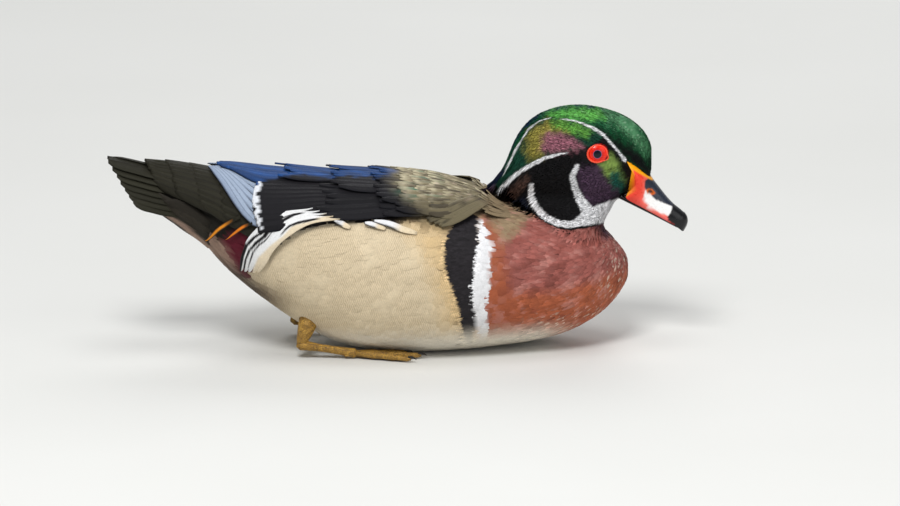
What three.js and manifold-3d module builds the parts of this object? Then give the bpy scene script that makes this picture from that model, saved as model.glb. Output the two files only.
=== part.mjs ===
// A drake wood duck afloat, at life size, resting on its belly with its feet tucked under.
// Millimetres. +X is the way the breast points, +Y the bird's left, +Z up. The origin is the
// middle of the flat of the belly. The head's nodes sit in a group of their own, turned a little.
import * as THREE from 'three';
import { mergeVertices } from 'three/addons/utils/BufferGeometryUtils.js';
import Module from 'manifold-3d';

const wasm = await Module();
wasm.setup();
const { Manifold, Mesh: SolidMesh } = wasm;

// Driving sizes
const joint = 0.3;
const tailRootX = -118;
const torsoStations = [
  // x, top, bottom, half width, height of the widest level, roundness of the upper side
  [-118, 99, 64, 14.5, 82, 2.2],
  [-108, 102, 52, 23, 77, 2.2],
  [-95, 104, 40, 32, 71, 2.2],
  [-80, 105, 28, 41, 65, 2.2],
  [-60, 105, 14, 51, 59, 2.2],
  [-35, 104.5, 2, 58.5, 54, 2.2],
  [-5, 103.5, -3, 62, 51, 2.2],
  [25, 100.5, -3, 62, 49, 2.3],
  [45, 95.5, -2, 59, 48, 2.5],
  [60, 90.5, -0.5, 55.5, 47.5, 2.5],
  [75, 86, 1, 51.5, 47, 2.4],
  [95, 81, 5, 46, 46.5, 2.3],
  [112, 77, 12, 38.5, 46.5, 2.2],
  [125, 70, 21, 28.5, 46.5, 2.1],
  [134, 60.5, 31.5, 17.5, 46.5, 2],
  [138, 53, 39, 8.5, 46.5, 2],
  [139.6, 47, 46, 0.6, 46.5, 2],
];
const wingStations = [
  [-122, 113, 90, 15, 92, 2.2],
  [-108, 112, 60, 28, 84, 2.2],
  [-95, 110.5, 50, 37, 77, 2.2],
  [-80, 108.5, 40, 44.5, 69, 2.2],
  [-60, 106.5, 14, 52.5, 60.5, 2.2],
  [-35, 105, 2, 59, 54, 2.2],
  [-5, 104, -3, 62.5, 51, 2.2],
  [25, 101, -3, 62.5, 49, 2.3],
  [45, 96, -2, 59.5, 48, 2.5],
  [60, 91, -0.5, 56, 47.5, 2.5],
];
const tailStations = [
  [-154, 112, 97, 4, 105.5, 2],
  [-146, 110.5, 86.5, 10.5, 100, 2],
  [-134, 107, 77, 13, 94, 2.1],
  [-118.3, 99, 64, 14.5, 82, 2.2],
];
const headPivot = { x: 100, y: -3, yawDeg: -6 };
const headStations = [
  [-50, 94.6, 93.2, 1.2, 93.9, 2],
  [-45, 99, 92.8, 6.5, 95.8, 2],
  [-39, 105.5, 92, 10, 98.5, 2],
  [-35, 113, 91.2, 12.5, 101, 2],
  [-32, 121.5, 90.5, 14.2, 104.5, 2],
  [-28, 130.5, 89.5, 16, 108.5, 2],
  [-22, 138, 87.5, 18, 112, 2],
  [-15, 142.9, 84, 20, 115, 2.1],
  [-4, 146.8, 81, 21.8, 116.5, 2.2],
  [8, 148.1, 80, 22, 117, 2.2],
  [20, 146.8, 83, 20, 117, 2.2],
  [30, 144.2, 88, 16, 116, 2.2],
  [37, 141.2, 91.5, 12, 115, 2.2],
  [43, 137, 94, 9.6, 114, 2.2],
  [48, 131.5, 97, 7.8, 113.5, 2.2],
  [51.5, 124, 101, 5.6, 113, 2.2],
  [52.8, 117, 108, 2.4, 112.5, 2],
];
const neckStations = [
  // z, rear x, front x, half width
  [64, -17, 20, 25],
  [72, -19, 23.5, 25],
  [78, -20.5, 25, 23.6],
  [84, -21.5, 29, 22],
  [90, -21.5, 31, 20.5],
  [97, -18, 30, 17],
];
const crestPlane = { x: -8, z: 147, leanDeg: 18 };
const bill = { gapeX: 34.9, gapeZ: 93.2, pitchDeg: 29.7 };
const billStations = [
  // along the bill, culmen, edge of the mouth, half width, roundness
  [-10.6, 21.6, 3.5, 10.6, 5],
  [-3, 20, 0.4, 10.7, 4.5],
  [4, 18.4, 0, 10.2, 3.6],
  [11, 16.4, 0, 9.4, 2.8],
  [20, 13, 0, 8.6, 2.4],
  [29.5, 9.6, 0, 8.1, 2.3],
  [36, 8.4, -0.2, 7.2, 2.3],
  [40, 7.2, -0.9, 5.6, 2.2],
  [42.6, 4.8, -1.5, 3.4, 2.1],
  [43.4, 2, -1.2, 1.4, 2],
];
const lowerBillStations = [
  [0.5, -0.3, -4.2, 8.6, 2.4],
  [12, -0.3, -3.9, 8, 2.4],
  [26, -0.3, -3, 7.2, 2.4],
  [35, -0.5, -2.4, 6, 2.2],
  [38.5, -1.2, -2, 4.2, 2],
];
const nostril = { along: 13.5, up: 10.6, long: 2.2, high: 1.3, deep: 2 };
const eye = { x: 20.1, z: 121.8, side: 14.4, radius: 6.1 };
const lid = { side: 19.1, long: 6.4, high: 5.4, thick: 0.95, cornerLong: 1.3, cornerDeg: -28 };
const legSide = 33;
const leg = {
  heel: [-62, 8.5], toeBase: [-30, 3.2], stubTop: [-56, 26], shank: 2.6, thigh: 6.5,
};
const foot = {
  toeLong: [36, 45, 40], toeDeg: [-9, 6, 22], toeWide: 3.4, clawAt: 0.85, webAt: 0.82, web: 1.1,
  hindToe: [-7, 3, -1.4],
};

// Seeded draw, so that feathers vary in the same way each time
let seed = 20611;
function vary(amount) {
  seed = (seed * 16807) % 2147483647;
  return amount * ((seed / 2147483647) * 2 - 1);
}

const lerp = THREE.MathUtils.lerp;
const rad = THREE.MathUtils.degToRad;

// Closed solid from shared points and triangles, turned right side out
function solidOf(points, triangles) {
  let volume = 0;
  for (const [a, b, c] of triangles) {
    volume += points[a].dot(points[b].clone().cross(points[c]));
  }
  const order = volume < 0 ? [0, 2, 1] : [0, 1, 2];
  return new Manifold(new SolidMesh({
    numProp: 3,
    vertProperties: new Float32Array(points.flatMap((p) => [p.x, p.y, p.z])),
    triVerts: new Uint32Array(triangles.flatMap((t) => order.map((k) => t[k]))),
  }));
}

// Solid from a three.js geometry
function solidFrom(geometry) {
  const bare = geometry.clone();
  bare.deleteAttribute('normal');
  bare.deleteAttribute('uv');
  const merged = mergeVertices(bare, 1e-4);
  return new Manifold(new SolidMesh({
    numProp: 3,
    vertProperties: new Float32Array(merged.attributes.position.array),
    triVerts: new Uint32Array(merged.index.array),
  }));
}

// Joined solids, of which only the largest closed surface stays
function unite(solids) {
  const parts = Manifold.union(solids).decompose();
  return parts.reduce((best, part) => (part.volume() > best.volume() ? part : best));
}

function largest(solid) {
  return unite([solid]);
}

// Smooth row between the rows of a table whose first column rises
function rowAt(table, at) {
  const last = table.length - 1;
  let k = 0;
  while (k < last - 1 && at > table[k + 1][0]) k += 1;
  const before = table[Math.max(k - 1, 0)];
  const after = table[Math.min(k + 2, last)];
  const [from, to] = [table[k], table[k + 1]];
  const span = to[0] - from[0];
  const s = THREE.MathUtils.clamp((at - from[0]) / span, 0, 1);
  return from.map((value, column) => {
    const slopeFrom = ((to[column] - before[column]) / (to[0] - before[0])) * span;
    const slopeTo = ((after[column] - value) / (after[0] - from[0])) * span;
    return value * (2 * s ** 3 - 3 * s ** 2 + 1) + slopeFrom * (s ** 3 - 2 * s ** 2 + s)
      + to[column] * (3 * s ** 2 - 2 * s ** 3) + slopeTo * (s ** 3 - s ** 2);
  });
}

const power = (value, exponent) => Math.sign(value) * Math.abs(value) ** exponent;

// Point on a body of stations: degrees are counted from the ridge, to the left where positive
function skinPoint(table, x, degrees, grow = 0) {
  const [, top, bottom, half, wide, round] = rowAt(table, x);
  const angle = rad(degrees);
  const over = Math.cos(angle) >= 0;
  const exponent = 2 / (over ? round : 2.2);
  const rise = over ? top + grow - wide : wide - bottom + grow;
  return new THREE.Vector3(
    x,
    (half + grow) * power(Math.sin(angle), exponent),
    wide + rise * power(Math.cos(angle), exponent),
  );
}

// Loft of rings of equal count, closed at both ends by fans
function loftRings(rings) {
  const count = rings[0].length;
  const points = rings.flat();
  const triangles = [];
  for (let r = 0; r + 1 < rings.length; r += 1) {
    for (let k = 0; k < count; k += 1) {
      const next = (k + 1) % count;
      const [a, b, c, d] = [r * count + k, r * count + next, (r + 1) * count + next, (r + 1) * count + k];
      triangles.push([a, b, c], [a, c, d]);
    }
  }
  for (const [ring, flip] of [[0, true], [rings.length - 1, false]]) {
    const centre = rings[ring].reduce((sum, p) => sum.add(p), new THREE.Vector3()).divideScalar(count);
    points.push(centre);
    for (let k = 0; k < count; k += 1) {
      const [a, b] = [ring * count + k, ring * count + ((k + 1) % count)];
      triangles.push(flip ? [points.length - 1, b, a] : [points.length - 1, a, b]);
    }
  }
  return solidOf(points, triangles);
}

// Body through a table of stations, cut at the given places along x, no lower than the floor
function bodySolid(table, places, around, grow = 0, floorZ = -1000) {
  return loftRings(places.map((x, r) => {
    const end = r === 0 ? -grow : r === places.length - 1 ? grow : 0;
    const ring = [];
    for (let k = 0; k < around; k += 1) {
      const p = skinPoint(table, x, (360 * k) / around, grow);
      ring.push(new THREE.Vector3(p.x + end, p.y, Math.max(p.z, floorZ)));
    }
    return ring;
  }));
}

const spaced = (from, to, count) => Array.from({ length: count }, (_, k) => lerp(from, to, k / (count - 1)));

// Slab under a grid of points, each with its own depth against its up direction; both faces
// are split into triangles alike
function slabSolid(rows) {
  const [length, across] = [rows.length, rows[0].length];
  const nodes = rows.flat();
  const points = [
    ...nodes.map(({ at }) => at.clone()),
    ...nodes.map(({ at, up, deep }) => at.clone().addScaledVector(up, -deep)),
  ];
  const under = length * across;
  const triangles = [];
  for (let r = 0; r + 1 < length; r += 1) {
    for (let k = 0; k + 1 < across; k += 1) {
      const [a, b] = [r * across + k, r * across + k + 1];
      const [c, d] = [b + across, a + across];
      triangles.push([a, b, c], [a, c, d]);
      triangles.push([under + a, under + c, under + b], [under + a, under + d, under + c]);
    }
  }
  const rim = [];
  for (let k = 0; k < across; k += 1) rim.push(k);
  for (let r = 1; r < length; r += 1) rim.push(r * across + across - 1);
  for (let k = across - 2; k >= 0; k -= 1) rim.push((length - 1) * across + k);
  for (let r = length - 2; r > 0; r -= 1) rim.push(r * across);
  rim.forEach((a, k) => {
    const b = rim[(k + 1) % rim.length];
    triangles.push([b, a, under + a], [b, under + a, under + b]);
  });
  return solidOf(points, triangles);
}

// Vane: a thin strip of feather between matching grids of points on its two faces
function vaneSolid(rows, thick) {
  return slabSolid(rows.map((row, r) => row.map(({ at, up }) => (
    { at, up, deep: thick * (r === rows.length - 1 ? 0.7 : 1) }
  ))));
}

// Vane laid along a skin: where(s) gives x and degrees at s from root to tip, lift its height
// above the skin, wide its widest part and tilt the slope across it
function skinVane(table, { where, lift, wide, thick = 0.7, tilt = 0, steps = 3, tip = 0.35, ease = 1 }) {
  const above = (s) => {
    const [x, degrees] = where(s);
    const p = skinPoint(table, x, degrees);
    const alongX = skinPoint(table, x + 0.5, degrees).sub(skinPoint(table, x - 0.5, degrees));
    const around = skinPoint(table, x, degrees + 1).sub(skinPoint(table, x, degrees - 1));
    const up = around.cross(alongX).normalize();
    const centre = new THREE.Vector3(x, 0, rowAt(table, x)[4]);
    if (up.dot(p.clone().sub(centre)) < 0) up.negate();
    return { p: p.addScaledVector(up, lerp(lift[0], lift[1], s ** ease)), up };
  };
  const rows = [];
  for (let k = 0; k <= steps; k += 1) {
    const s = k / steps;
    const { p, up } = above(s);
    const ahead = above(Math.min(s + 0.03, 1)).p;
    const along = ahead.sub(above(Math.max(s - 0.03, 0)).p).normalize();
    const side = new THREE.Vector3().crossVectors(up, along).normalize();
    const half = 0.5 * wide * (s < 0.55 ? lerp(0.55, 1, Math.sqrt(s / 0.55))
      : lerp(1, tip, ((s - 0.55) / 0.45) ** 2.2));
    rows.push([-1, 1].map((j) => ({
      at: p.clone().addScaledVector(side, j * half).addScaledVector(up, j * half * tilt),
      up,
    })));
  }
  return vaneSolid(rows, thick);
}

// Row of vanes whose roots and tips are spread evenly between two ends, each tilted just so
// far that it clears the next one
function vaneRow(table, side, { count, roots, tips, bow = 0, ...style }) {
  const middle = (u) => skinPoint(table, ...[0, 1].map((c) => (
    0.5 * (lerp(roots[0][c], roots[1][c], u) + lerp(tips[0][c], tips[1][c], u))
  )));
  const apart = middle(0).distanceTo(middle(1)) / Math.max(count - 1, 1);
  const thick = style.thick || 0.7;
  const slope = Math.min((thick + 0.35) / apart, 0.28);
  return Array.from({ length: count }, (_, k) => {
    const u = count === 1 ? 0 : k / (count - 1);
    const [rootX, rootDeg] = [0, 1].map((c) => lerp(roots[0][c], roots[1][c], u));
    const [tipX, tipDeg] = [0, 1].map((c) => lerp(tips[0][c], tips[1][c], u));
    const reach = vary(1.4);
    return skinVane(table, {
      ...style,
      wide: style.wide * (1 + vary(0.05)),
      tilt: -side * slope,
      where: (s) => [
        lerp(rootX, tipX + reach, s),
        side * (lerp(rootDeg, tipDeg, s) + bow * Math.sin(Math.PI * s)),
      ],
    });
  });
}

// Head group
const headYaw = rad(headPivot.yawDeg);
const headMatrix = new THREE.Matrix4().makeRotationZ(headYaw)
  .setPosition(headPivot.x, headPivot.y, 0);
const toWorld = (solid) => solid.transform(headMatrix.toArray());

const headPlaces = [-50, -45, -39, -34, -28, -21, -12, -1, 10, 20, 29, 37, 43, 48, 51.5, 52.8];
const wholeHead = (grow) => bodySolid(headStations, headPlaces, 18, grow);

function neckSolid(grow) {
  return loftRings(spaced(neckStations[0][0], neckStations.at(-1)[0], 5).map((z, r, all) => {
    const [, rear, front, half] = rowAt(neckStations, z);
    const end = r === 0 ? -grow : r === all.length - 1 ? grow : 0;
    return Array.from({ length: 18 }, (_, k) => {
      const angle = (2 * Math.PI * k) / 18;
      const reach = (front - rear) / 2 + grow;
      return new THREE.Vector3(
        (front + rear) / 2 + reach * Math.cos(angle),
        (half + grow) * Math.sin(angle),
        z + end,
      );
    });
  }));
}

// Bill, in its own frame: along the line of the mouth, across, and up
const billPitch = rad(bill.pitchDeg);
const billMatrix = new THREE.Matrix4().makeRotationY(billPitch).setPosition(bill.gapeX, 0, bill.gapeZ);

function billSolid(table, count, grow) {
  const places = spaced(table[0][0], table.at(-1)[0], count);
  return loftRings(places.map((s, r) => {
    const [, top, bottom, half, round] = rowAt(table, s);
    const end = r === 0 ? -grow : r === count - 1 ? grow : 0;
    const flat = 4;
    const arch = 11;
    const ring = Array.from({ length: arch }, (_, k) => {
      const angle = (Math.PI * k) / (arch - 1);
      return new THREE.Vector3(
        s + end,
        (half + grow) * power(Math.cos(angle), 2 / (round + 0.6)),
        bottom - grow + (top - bottom + 2 * grow) * power(Math.sin(angle), 2 / round),
      );
    });
    for (let k = 1; k < flat; k += 1) {
      ring.push(new THREE.Vector3(s + end, lerp(-half - grow, half + grow, k / flat), bottom - grow));
    }
    return ring;
  })).transform(billMatrix.toArray());
}

function lowerBillSolid(grow) {
  const places = spaced(lowerBillStations[0][0], lowerBillStations.at(-1)[0], 7);
  return loftRings(places.map((s, r) => {
    const [, top, bottom, half] = rowAt(lowerBillStations, s);
    const end = r === 0 ? -grow : r === places.length - 1 ? grow : 0;
    return Array.from({ length: 12 }, (_, k) => {
      const angle = (2 * Math.PI * k) / 12;
      const under = Math.sin(angle) < 0;
      return new THREE.Vector3(
        s + end,
        (half + grow) * power(Math.cos(angle), 0.8),
        under ? lerp(top, bottom, -Math.sin(angle)) - grow : top + grow,
      );
    });
  }).map((ring) => ring.filter((p, k) => k === 0 || k >= 6))).transform(billMatrix.toArray());
}

function nostrilSolid(side) {
  const [, , , half] = rowAt(billStations, nostril.along);
  return solidFrom(new THREE.SphereGeometry(1, 8, 6))
    .scale([nostril.long, nostril.deep, nostril.high])
    .rotate([0, -14, 0])
    .translate([nostril.along, side * (half - 1.2), nostril.up])
    .transform(billMatrix.toArray());
}

function eyeSolid(side, grow) {
  return solidFrom(new THREE.SphereGeometry(eye.radius + grow, 12, 8))
    .translate([eye.x, side * eye.side, eye.z]);
}

// Lid: a rounded rim, drawn out to a corner at its lower front
function lidSolid(side, grow) {
  const [around, section] = [14, 4];
  const rings = Array.from({ length: around }, (_, k) => {
    const angle = (2 * Math.PI * k) / around;
    const nearCorner = Math.max(0, Math.cos(angle - rad(lid.cornerDeg))) ** 14;
    const out = new THREE.Vector3(Math.cos(angle), 0, Math.sin(angle));
    const middle = new THREE.Vector3(
      eye.x + (lid.long + lid.cornerLong * nearCorner) * out.x,
      side * (lid.side - 0.4 * Math.abs(out.z)),
      eye.z + (lid.high + lid.cornerLong * nearCorner) * out.z,
    );
    return Array.from({ length: section }, (__, j) => {
      const turn = (2 * Math.PI * j) / section;
      return middle.clone().addScaledVector(out, (lid.thick + grow) * Math.cos(turn))
        .add(new THREE.Vector3(0, (lid.thick + grow) * Math.sin(turn), 0));
    });
  });
  const points = rings.flat();
  const triangles = [];
  for (let k = 0; k < around; k += 1) {
    for (let j = 0; j < section; j += 1) {
      const [next, up] = [((k + 1) % around) * section, (j + 1) % section];
      const [a, b, c, d] = [k * section + j, k * section + up, next + up, next + j];
      triangles.push([a, b, c], [a, c, d]);
    }
  }
  return solidOf(points, triangles);
}

// Crest locks, tier over tier from the crown back to the drooping tip
function crestLocks() {
  const tiers = [
    { count: 3, roots: [[-13, 8], [-16, 52]], tips: [[-34, 8], [-37, 54]], lift: [-1, 1.9], wide: 9 },
    { count: 2, roots: [[-19, 76], [-20, 104]], tips: [[-41, 76], [-41, 106]], lift: [-1, 1.9], wide: 8 },
    { count: 3, roots: [[-30, 16], [-34, 96]], tips: [[-49, 16], [-50.5, 92]], lift: [-1, 1.4], wide: 7 },
  ];
  const locks = [];
  for (const side of [1, -1]) {
    for (const tier of tiers) {
      locks.push(...vaneRow(headStations, side, { ...tier, thick: 0.9, tip: 0.2, ease: 0.6 }));
    }
  }
  return locks;
}

function makeHead() {
  const lean = rad(crestPlane.leanDeg);
  const ahead = [Math.cos(lean), 0, -Math.sin(lean)];
  const offset = ahead[0] * crestPlane.x + ahead[2] * crestPlane.z;
  const behind = ahead.map((value) => -value);
  const upperBill = billSolid(billStations, 10, 0);
  const lowerBill = largest(lowerBillSolid(0).subtract(billSolid(billStations, 10, joint)));
  let head = wholeHead(0).trimByPlane(ahead, offset + joint / 2)
    .subtract(billSolid(billStations, 10, joint))
    .subtract(lowerBillSolid(joint));
  const crest = unite([
    wholeHead(0).trimByPlane(behind, -offset + joint / 2),
    ...crestLocks().map((lock) => lock.trimByPlane(behind, -offset + joint / 2)),
  ]);
  const solids = { crest, bill_lower: lowerBill };
  for (const [name, side] of [['left', 1], ['right', -1]]) {
    solids[`eye_${name}`] = eyeSolid(side, 0);
    solids[`eyelid_${name}`] = largest(lidSolid(side, 0).subtract(eyeSolid(side, joint)));
    head = head.subtract(eyeSolid(side, joint)).subtract(lidSolid(side, joint));
  }
  solids.head = largest(head);
  solids.bill_upper = largest(upperBill.subtract(nostrilSolid(1)).subtract(nostrilSolid(-1)));
  solids.neck = largest(neckSolid(0).subtract(wholeHead(joint)));
  return solids;
}

// Wing: a pad on the body's side and back that carries tiers of flight feathers and coverts
const wingPad = { thick: 1.6, under: 0.35, frontX: 47, rearX: -78, ridgeDeg: 4, lowDeg: 60 };

function wingPadSolid(side) {
  const [along, across] = [8, 5];
  const rows = [];
  for (let r = 0; r < along; r += 1) {
    const s = r / (along - 1);
    const x = lerp(wingPad.frontX, wingPad.rearX, s);
    const front = Math.min(1, s / 0.25);
    const ridge = lerp(24, wingPad.ridgeDeg, front);
    const low = lerp(46, wingPad.lowDeg, Math.sqrt(front));
    const row = [];
    for (let k = 0; k < across; k += 1) {
      const u = k / (across - 1);
      const degrees = side * lerp(ridge, low, u);
      const edge = Math.sin(Math.PI * Math.min(Math.max(u, 0.12), 0.88)) ** 0.5;
      const thick = wingPad.thick * edge * Math.min(1, 0.45 + 2.5 * Math.min(s, 1 - s));
      const inner = skinPoint(wingStations, x, degrees, wingPad.under);
      const outer = skinPoint(wingStations, x, degrees, wingPad.under + thick);
      row.push({ at: outer, up: outer.clone().sub(inner).normalize(), deep: thick });
    }
    rows.push(row);
  }
  return slabSolid(rows);
}

const wingTiers = [
  // primaries, secondaries, tertials, greater and lesser coverts, then three rows of scapulars
  { count: 5, roots: [[-73, 56], [-76, 34]], tips: [[-105, 42], [-119, 14]], lift: [0.9, 1.8], wide: 9.5 },
  { count: 6, roots: [[-43, 55], [-45, 28]], tips: [[-87, 58], [-83, 27]], lift: [0.8, 3.2], wide: 11.5 },
  { count: 3, roots: [[-56, 25], [-58, 9]], tips: [[-92, 26], [-112, 11]], lift: [0.9, 3.6], wide: 17 },
  { count: 4, roots: [[-7, 54], [-9, 32]], tips: [[-45, 57], [-48, 30]], lift: [0.8, 3.8], wide: 15.5 },
  { count: 3, roots: [[23, 50], [21, 36]], tips: [[-9, 54], [-12, 36]], lift: [0.8, 3.8], wide: 16 },
  { count: 2, roots: [[-28, 22], [-30, 10]], tips: [[-62, 26], [-68, 10]], lift: [0.9, 5.2], wide: 18 },
  { count: 3, roots: [[0, 36], [0, 10]], tips: [[-34, 36], [-38, 10]], lift: [0.9, 5.2], wide: 18 },
  { count: 3, roots: [[34, 38], [30, 16]], tips: [[-4, 38], [-8, 12]], lift: [0.8, 5], wide: 18 },
];

function makeWing(side) {
  const vanes = wingTiers.flatMap((tier) => vaneRow(wingStations, side, { ease: 0.6, ...tier }));
  return unite([wingPadSolid(side), ...vanes]);
}

// Flank feathers lap over the wing's lower edge, banded ones close the flank behind, and long
// plumes hang down the side of the rump
const flankTiers = [
  { count: 7, roots: [[30, 80], [-44, 82]], tips: [[13, 60], [-62, 62]], lift: [-1, 8], wide: 18, ease: 0.55 },
  { count: 4, roots: [[-52, 84], [-58, 118]], tips: [[-80, 72], [-88, 120]], lift: [-1, 3.6], wide: 17 },
  { count: 3, roots: [[-78, 80], [-84, 104]], tips: [[-99, 72], [-103, 112]], lift: [-1, 2.2], wide: 13 },
  { count: 3, roots: [[-92, 68], [-94, 84]], tips: [[-117, 76], [-119, 98]], lift: [-1, 1.6], wide: 6, tip: 0.15 },
];

function makeTorso(neck, crest, legs) {
  const places = [...spaced(tailRootX, 120, 12), 128.5, 134.5, 138, 139.6];
  const core = bodySolid(torsoStations, places, 20, 0, 0);
  const vanes = [1, -1].flatMap((side) => flankTiers
    .flatMap((tier) => vaneRow(torsoStations, side, tier)));
  let torso = unite([core, ...vanes]).trimByPlane([1, 0, 0], tailRootX);
  for (const cutter of [neck, crest, ...legs]) torso = torso.subtract(cutter);
  return largest(torso);
}

// Tail: a roof of paired feathers over a tapering root, with coverts above and below
const rectrix = { pairs: 6, rootX: -126, tipX: -176.5, wide: 15, thick: 0.8 };

function rectrixSolid(k, side) {
  const slope = rad(30 + 3 * k);
  const up = new THREE.Vector3(0, side * Math.sin(slope), Math.cos(slope));
  const across = new THREE.Vector3(0, Math.cos(slope), -side * Math.sin(slope));
  const drop = 1.25 * k;
  const root = new THREE.Vector3(rectrix.rootX, side * (3 + 1.1 * k), 102 - 2.6 * k);
  const tip = new THREE.Vector3(
    rectrix.tipX + 1.9 * k + vary(0.6),
    side * (5.5 + 3.4 * k),
    118.6 - 3.8 * k,
  );
  const rows = [0, 0.4, 0.8, 1].map((s) => {
    const at = root.clone().lerp(tip, s).addScaledVector(up, -drop + 1.5 * Math.sin(Math.PI * s));
    const half = 0.5 * rectrix.wide * (s < 0.6 ? lerp(0.5, 1, s / 0.6) : lerp(1, 0.45, ((s - 0.6) / 0.4) ** 2.4));
    return [-1, 1].map((j) => ({ at: at.clone().addScaledVector(across, j * half), up }));
  });
  return vaneSolid(rows, rectrix.thick);
}

const tailTiers = [
  // coverts above, then two rows below
  { count: 2, roots: [[-123, 14], [-123, 52]], tips: [[-146, 14], [-142, 58]], lift: [-1, 2], wide: 13 },
  { count: 2, roots: [[-121, 104], [-121, 152]], tips: [[-145, 106], [-143, 154]], lift: [-0.8, 1.6], wide: 12 },
  { count: 2, roots: [[-134, 112], [-134, 150]], tips: [[-163, 108], [-161, 144]], lift: [-1, 1], wide: 11 },
];

function makeTail() {
  const core = bodySolid(tailStations, spaced(-150, tailRootX - joint, 5), 12);
  const vanes = [];
  for (const side of [1, -1]) {
    for (let k = 0; k < rectrix.pairs; k += 1) vanes.push(rectrixSolid(k, side));
    for (const tier of tailTiers) vanes.push(...vaneRow(tailStations, side, { ease: 0.6, ...tier }));
  }
  return unite([core, ...vanes]).trimByPlane([-1, 0, 0], -(tailRootX - joint));
}

// Leg: a feathered stub in the flank, the shank laid forward and a folded foot on the floor
function rod(from, to, startRadius, endRadius, grow = 0, sides = 6) {
  const along = to.clone().sub(from);
  const length = along.length() + 2 * grow;
  const geometry = new THREE.CylinderGeometry(endRadius + grow, startRadius + grow, length, sides);
  const turn = new THREE.Quaternion().setFromUnitVectors(new THREE.Vector3(0, 1, 0), along.normalize());
  const middle = from.clone().lerp(to, 0.5);
  geometry.applyMatrix4(new THREE.Matrix4().compose(middle, turn, new THREE.Vector3(1, 1, 1)));
  return solidFrom(geometry);
}

function legSolid(side, grow) {
  const at = ([x, z], extraSide = 0) => new THREE.Vector3(x, side * (legSide + extraSide), z);
  const heel = at(leg.heel);
  const toeBase = at(leg.toeBase, 2);
  const pieces = [
    rod(at(leg.stubTop, -3), heel, leg.thigh, leg.shank + 1, grow),
    rod(heel, toeBase, leg.shank, leg.shank - 0.2, grow),
    solidFrom(new THREE.SphereGeometry(leg.shank + 1.2 + grow, 7, 5)).translate(heel.toArray()),
    solidFrom(new THREE.SphereGeometry(leg.shank + 0.7 + grow, 7, 5)).translate(toeBase.toArray()),
  ];
  const tips = foot.toeLong.map((long, k) => {
    const turn = rad(foot.toeDeg[k]) * side;
    return toeBase.clone().add(new THREE.Vector3(long * Math.cos(turn), long * Math.sin(turn), -1.6));
  });
  tips.forEach((tip) => {
    const half = foot.toeWide / 2;
    const clawRoot = toeBase.clone().lerp(tip, foot.clawAt);
    pieces.push(rod(toeBase, clawRoot, half, half * 0.8, grow, 5));
    const clawTip = tip.clone().setZ(0.6);
    pieces.push(rod(clawRoot, clawTip, half * 0.75, 0.3, grow, 5));
  });
  const edge = [toeBase, ...tips.map((tip) => toeBase.clone().lerp(tip, foot.webAt))];
  const webShape = new THREE.Shape(edge.map((p) => new THREE.Vector2(p.x, p.y)));
  const web = new THREE.ExtrudeGeometry(webShape, { depth: foot.web + 2 * grow, bevelEnabled: false });
  pieces.push(solidFrom(web.translate(0, 0, 1.1 - grow)));
  const [back, out, down] = foot.hindToe;
  const hindTip = toeBase.clone().add(new THREE.Vector3(back, side * out, down));
  pieces.push(rod(toeBase.clone().setZ(1.2), hindTip, 1.2, 0.7, grow, 5));
  return unite(pieces).trimByPlane([0, 0, 1], -grow);
}

// Assembly
const looks = {
  torso: ['#b99c73', 0.8],
  neck: ['#4a2430', 0.7],
  head: ['#1d5a38', 0.35],
  crest: ['#20453f', 0.4],
  bill_upper: ['#d9402b', 0.35],
  bill_lower: ['#1c1b1d', 0.4],
  eye: ['#c8160f', 0.12],
  eyelid: ['#e2452a', 0.4],
  wing: ['#1b2230', 0.45],
  tail: ['#2c2a22', 0.6],
  leg: ['#b08a34', 0.55],
};

function meshOf(name, solid, look) {
  const { vertProperties, triVerts, numProp } = solid.getMesh();
  const positions = new Float32Array((vertProperties.length / numProp) * 3);
  for (let k = 0; k * numProp < vertProperties.length; k += 1) {
    for (let c = 0; c < 3; c += 1) positions[3 * k + c] = vertProperties[k * numProp + c];
  }
  const geometry = new THREE.BufferGeometry();
  geometry.setAttribute('position', new THREE.BufferAttribute(positions, 3));
  geometry.setIndex(new THREE.BufferAttribute(new Uint32Array(triVerts), 1));
  geometry.computeVertexNormals();
  const [color, roughness] = look;
  const mesh = new THREE.Mesh(geometry, new THREE.MeshStandardMaterial({ color, roughness, metalness: 0 }));
  mesh.name = name;
  return mesh;
}

const bird = new THREE.Group();
const headGroup = new THREE.Group();
headGroup.position.set(headPivot.x, headPivot.y, 0);
headGroup.rotation.z = headYaw;
bird.add(headGroup);

const headSolids = makeHead();
for (const [name, solid] of Object.entries(headSolids)) {
  const look = looks[name] || looks[name.split('_')[0]];
  headGroup.add(meshOf(name, solid, look));
}

const crestRoom = wholeHead(2.4);
const legRooms = [1, -1].map((side) => legSolid(side, joint));
bird.add(meshOf('torso', makeTorso(toWorld(neckSolid(joint)), toWorld(crestRoom), legRooms), looks.torso));
bird.add(meshOf('tail', makeTail(), looks.tail));
for (const [name, side] of [['left', 1], ['right', -1]]) {
  bird.add(meshOf(`wing_${name}`, makeWing(side), looks.wing));
  bird.add(meshOf(`leg_${name}`, legSolid(side, 0), looks.leg));
}

export default bird;
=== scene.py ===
# Drake wood duck: skin, coat of feathers, flight feathers, bill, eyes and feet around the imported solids
import math
import bpy
import bmesh
import numpy as np
from mathutils import Matrix, Vector
from mathutils.bvhtree import BVHTree
from mathutils.kdtree import KDTree


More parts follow.
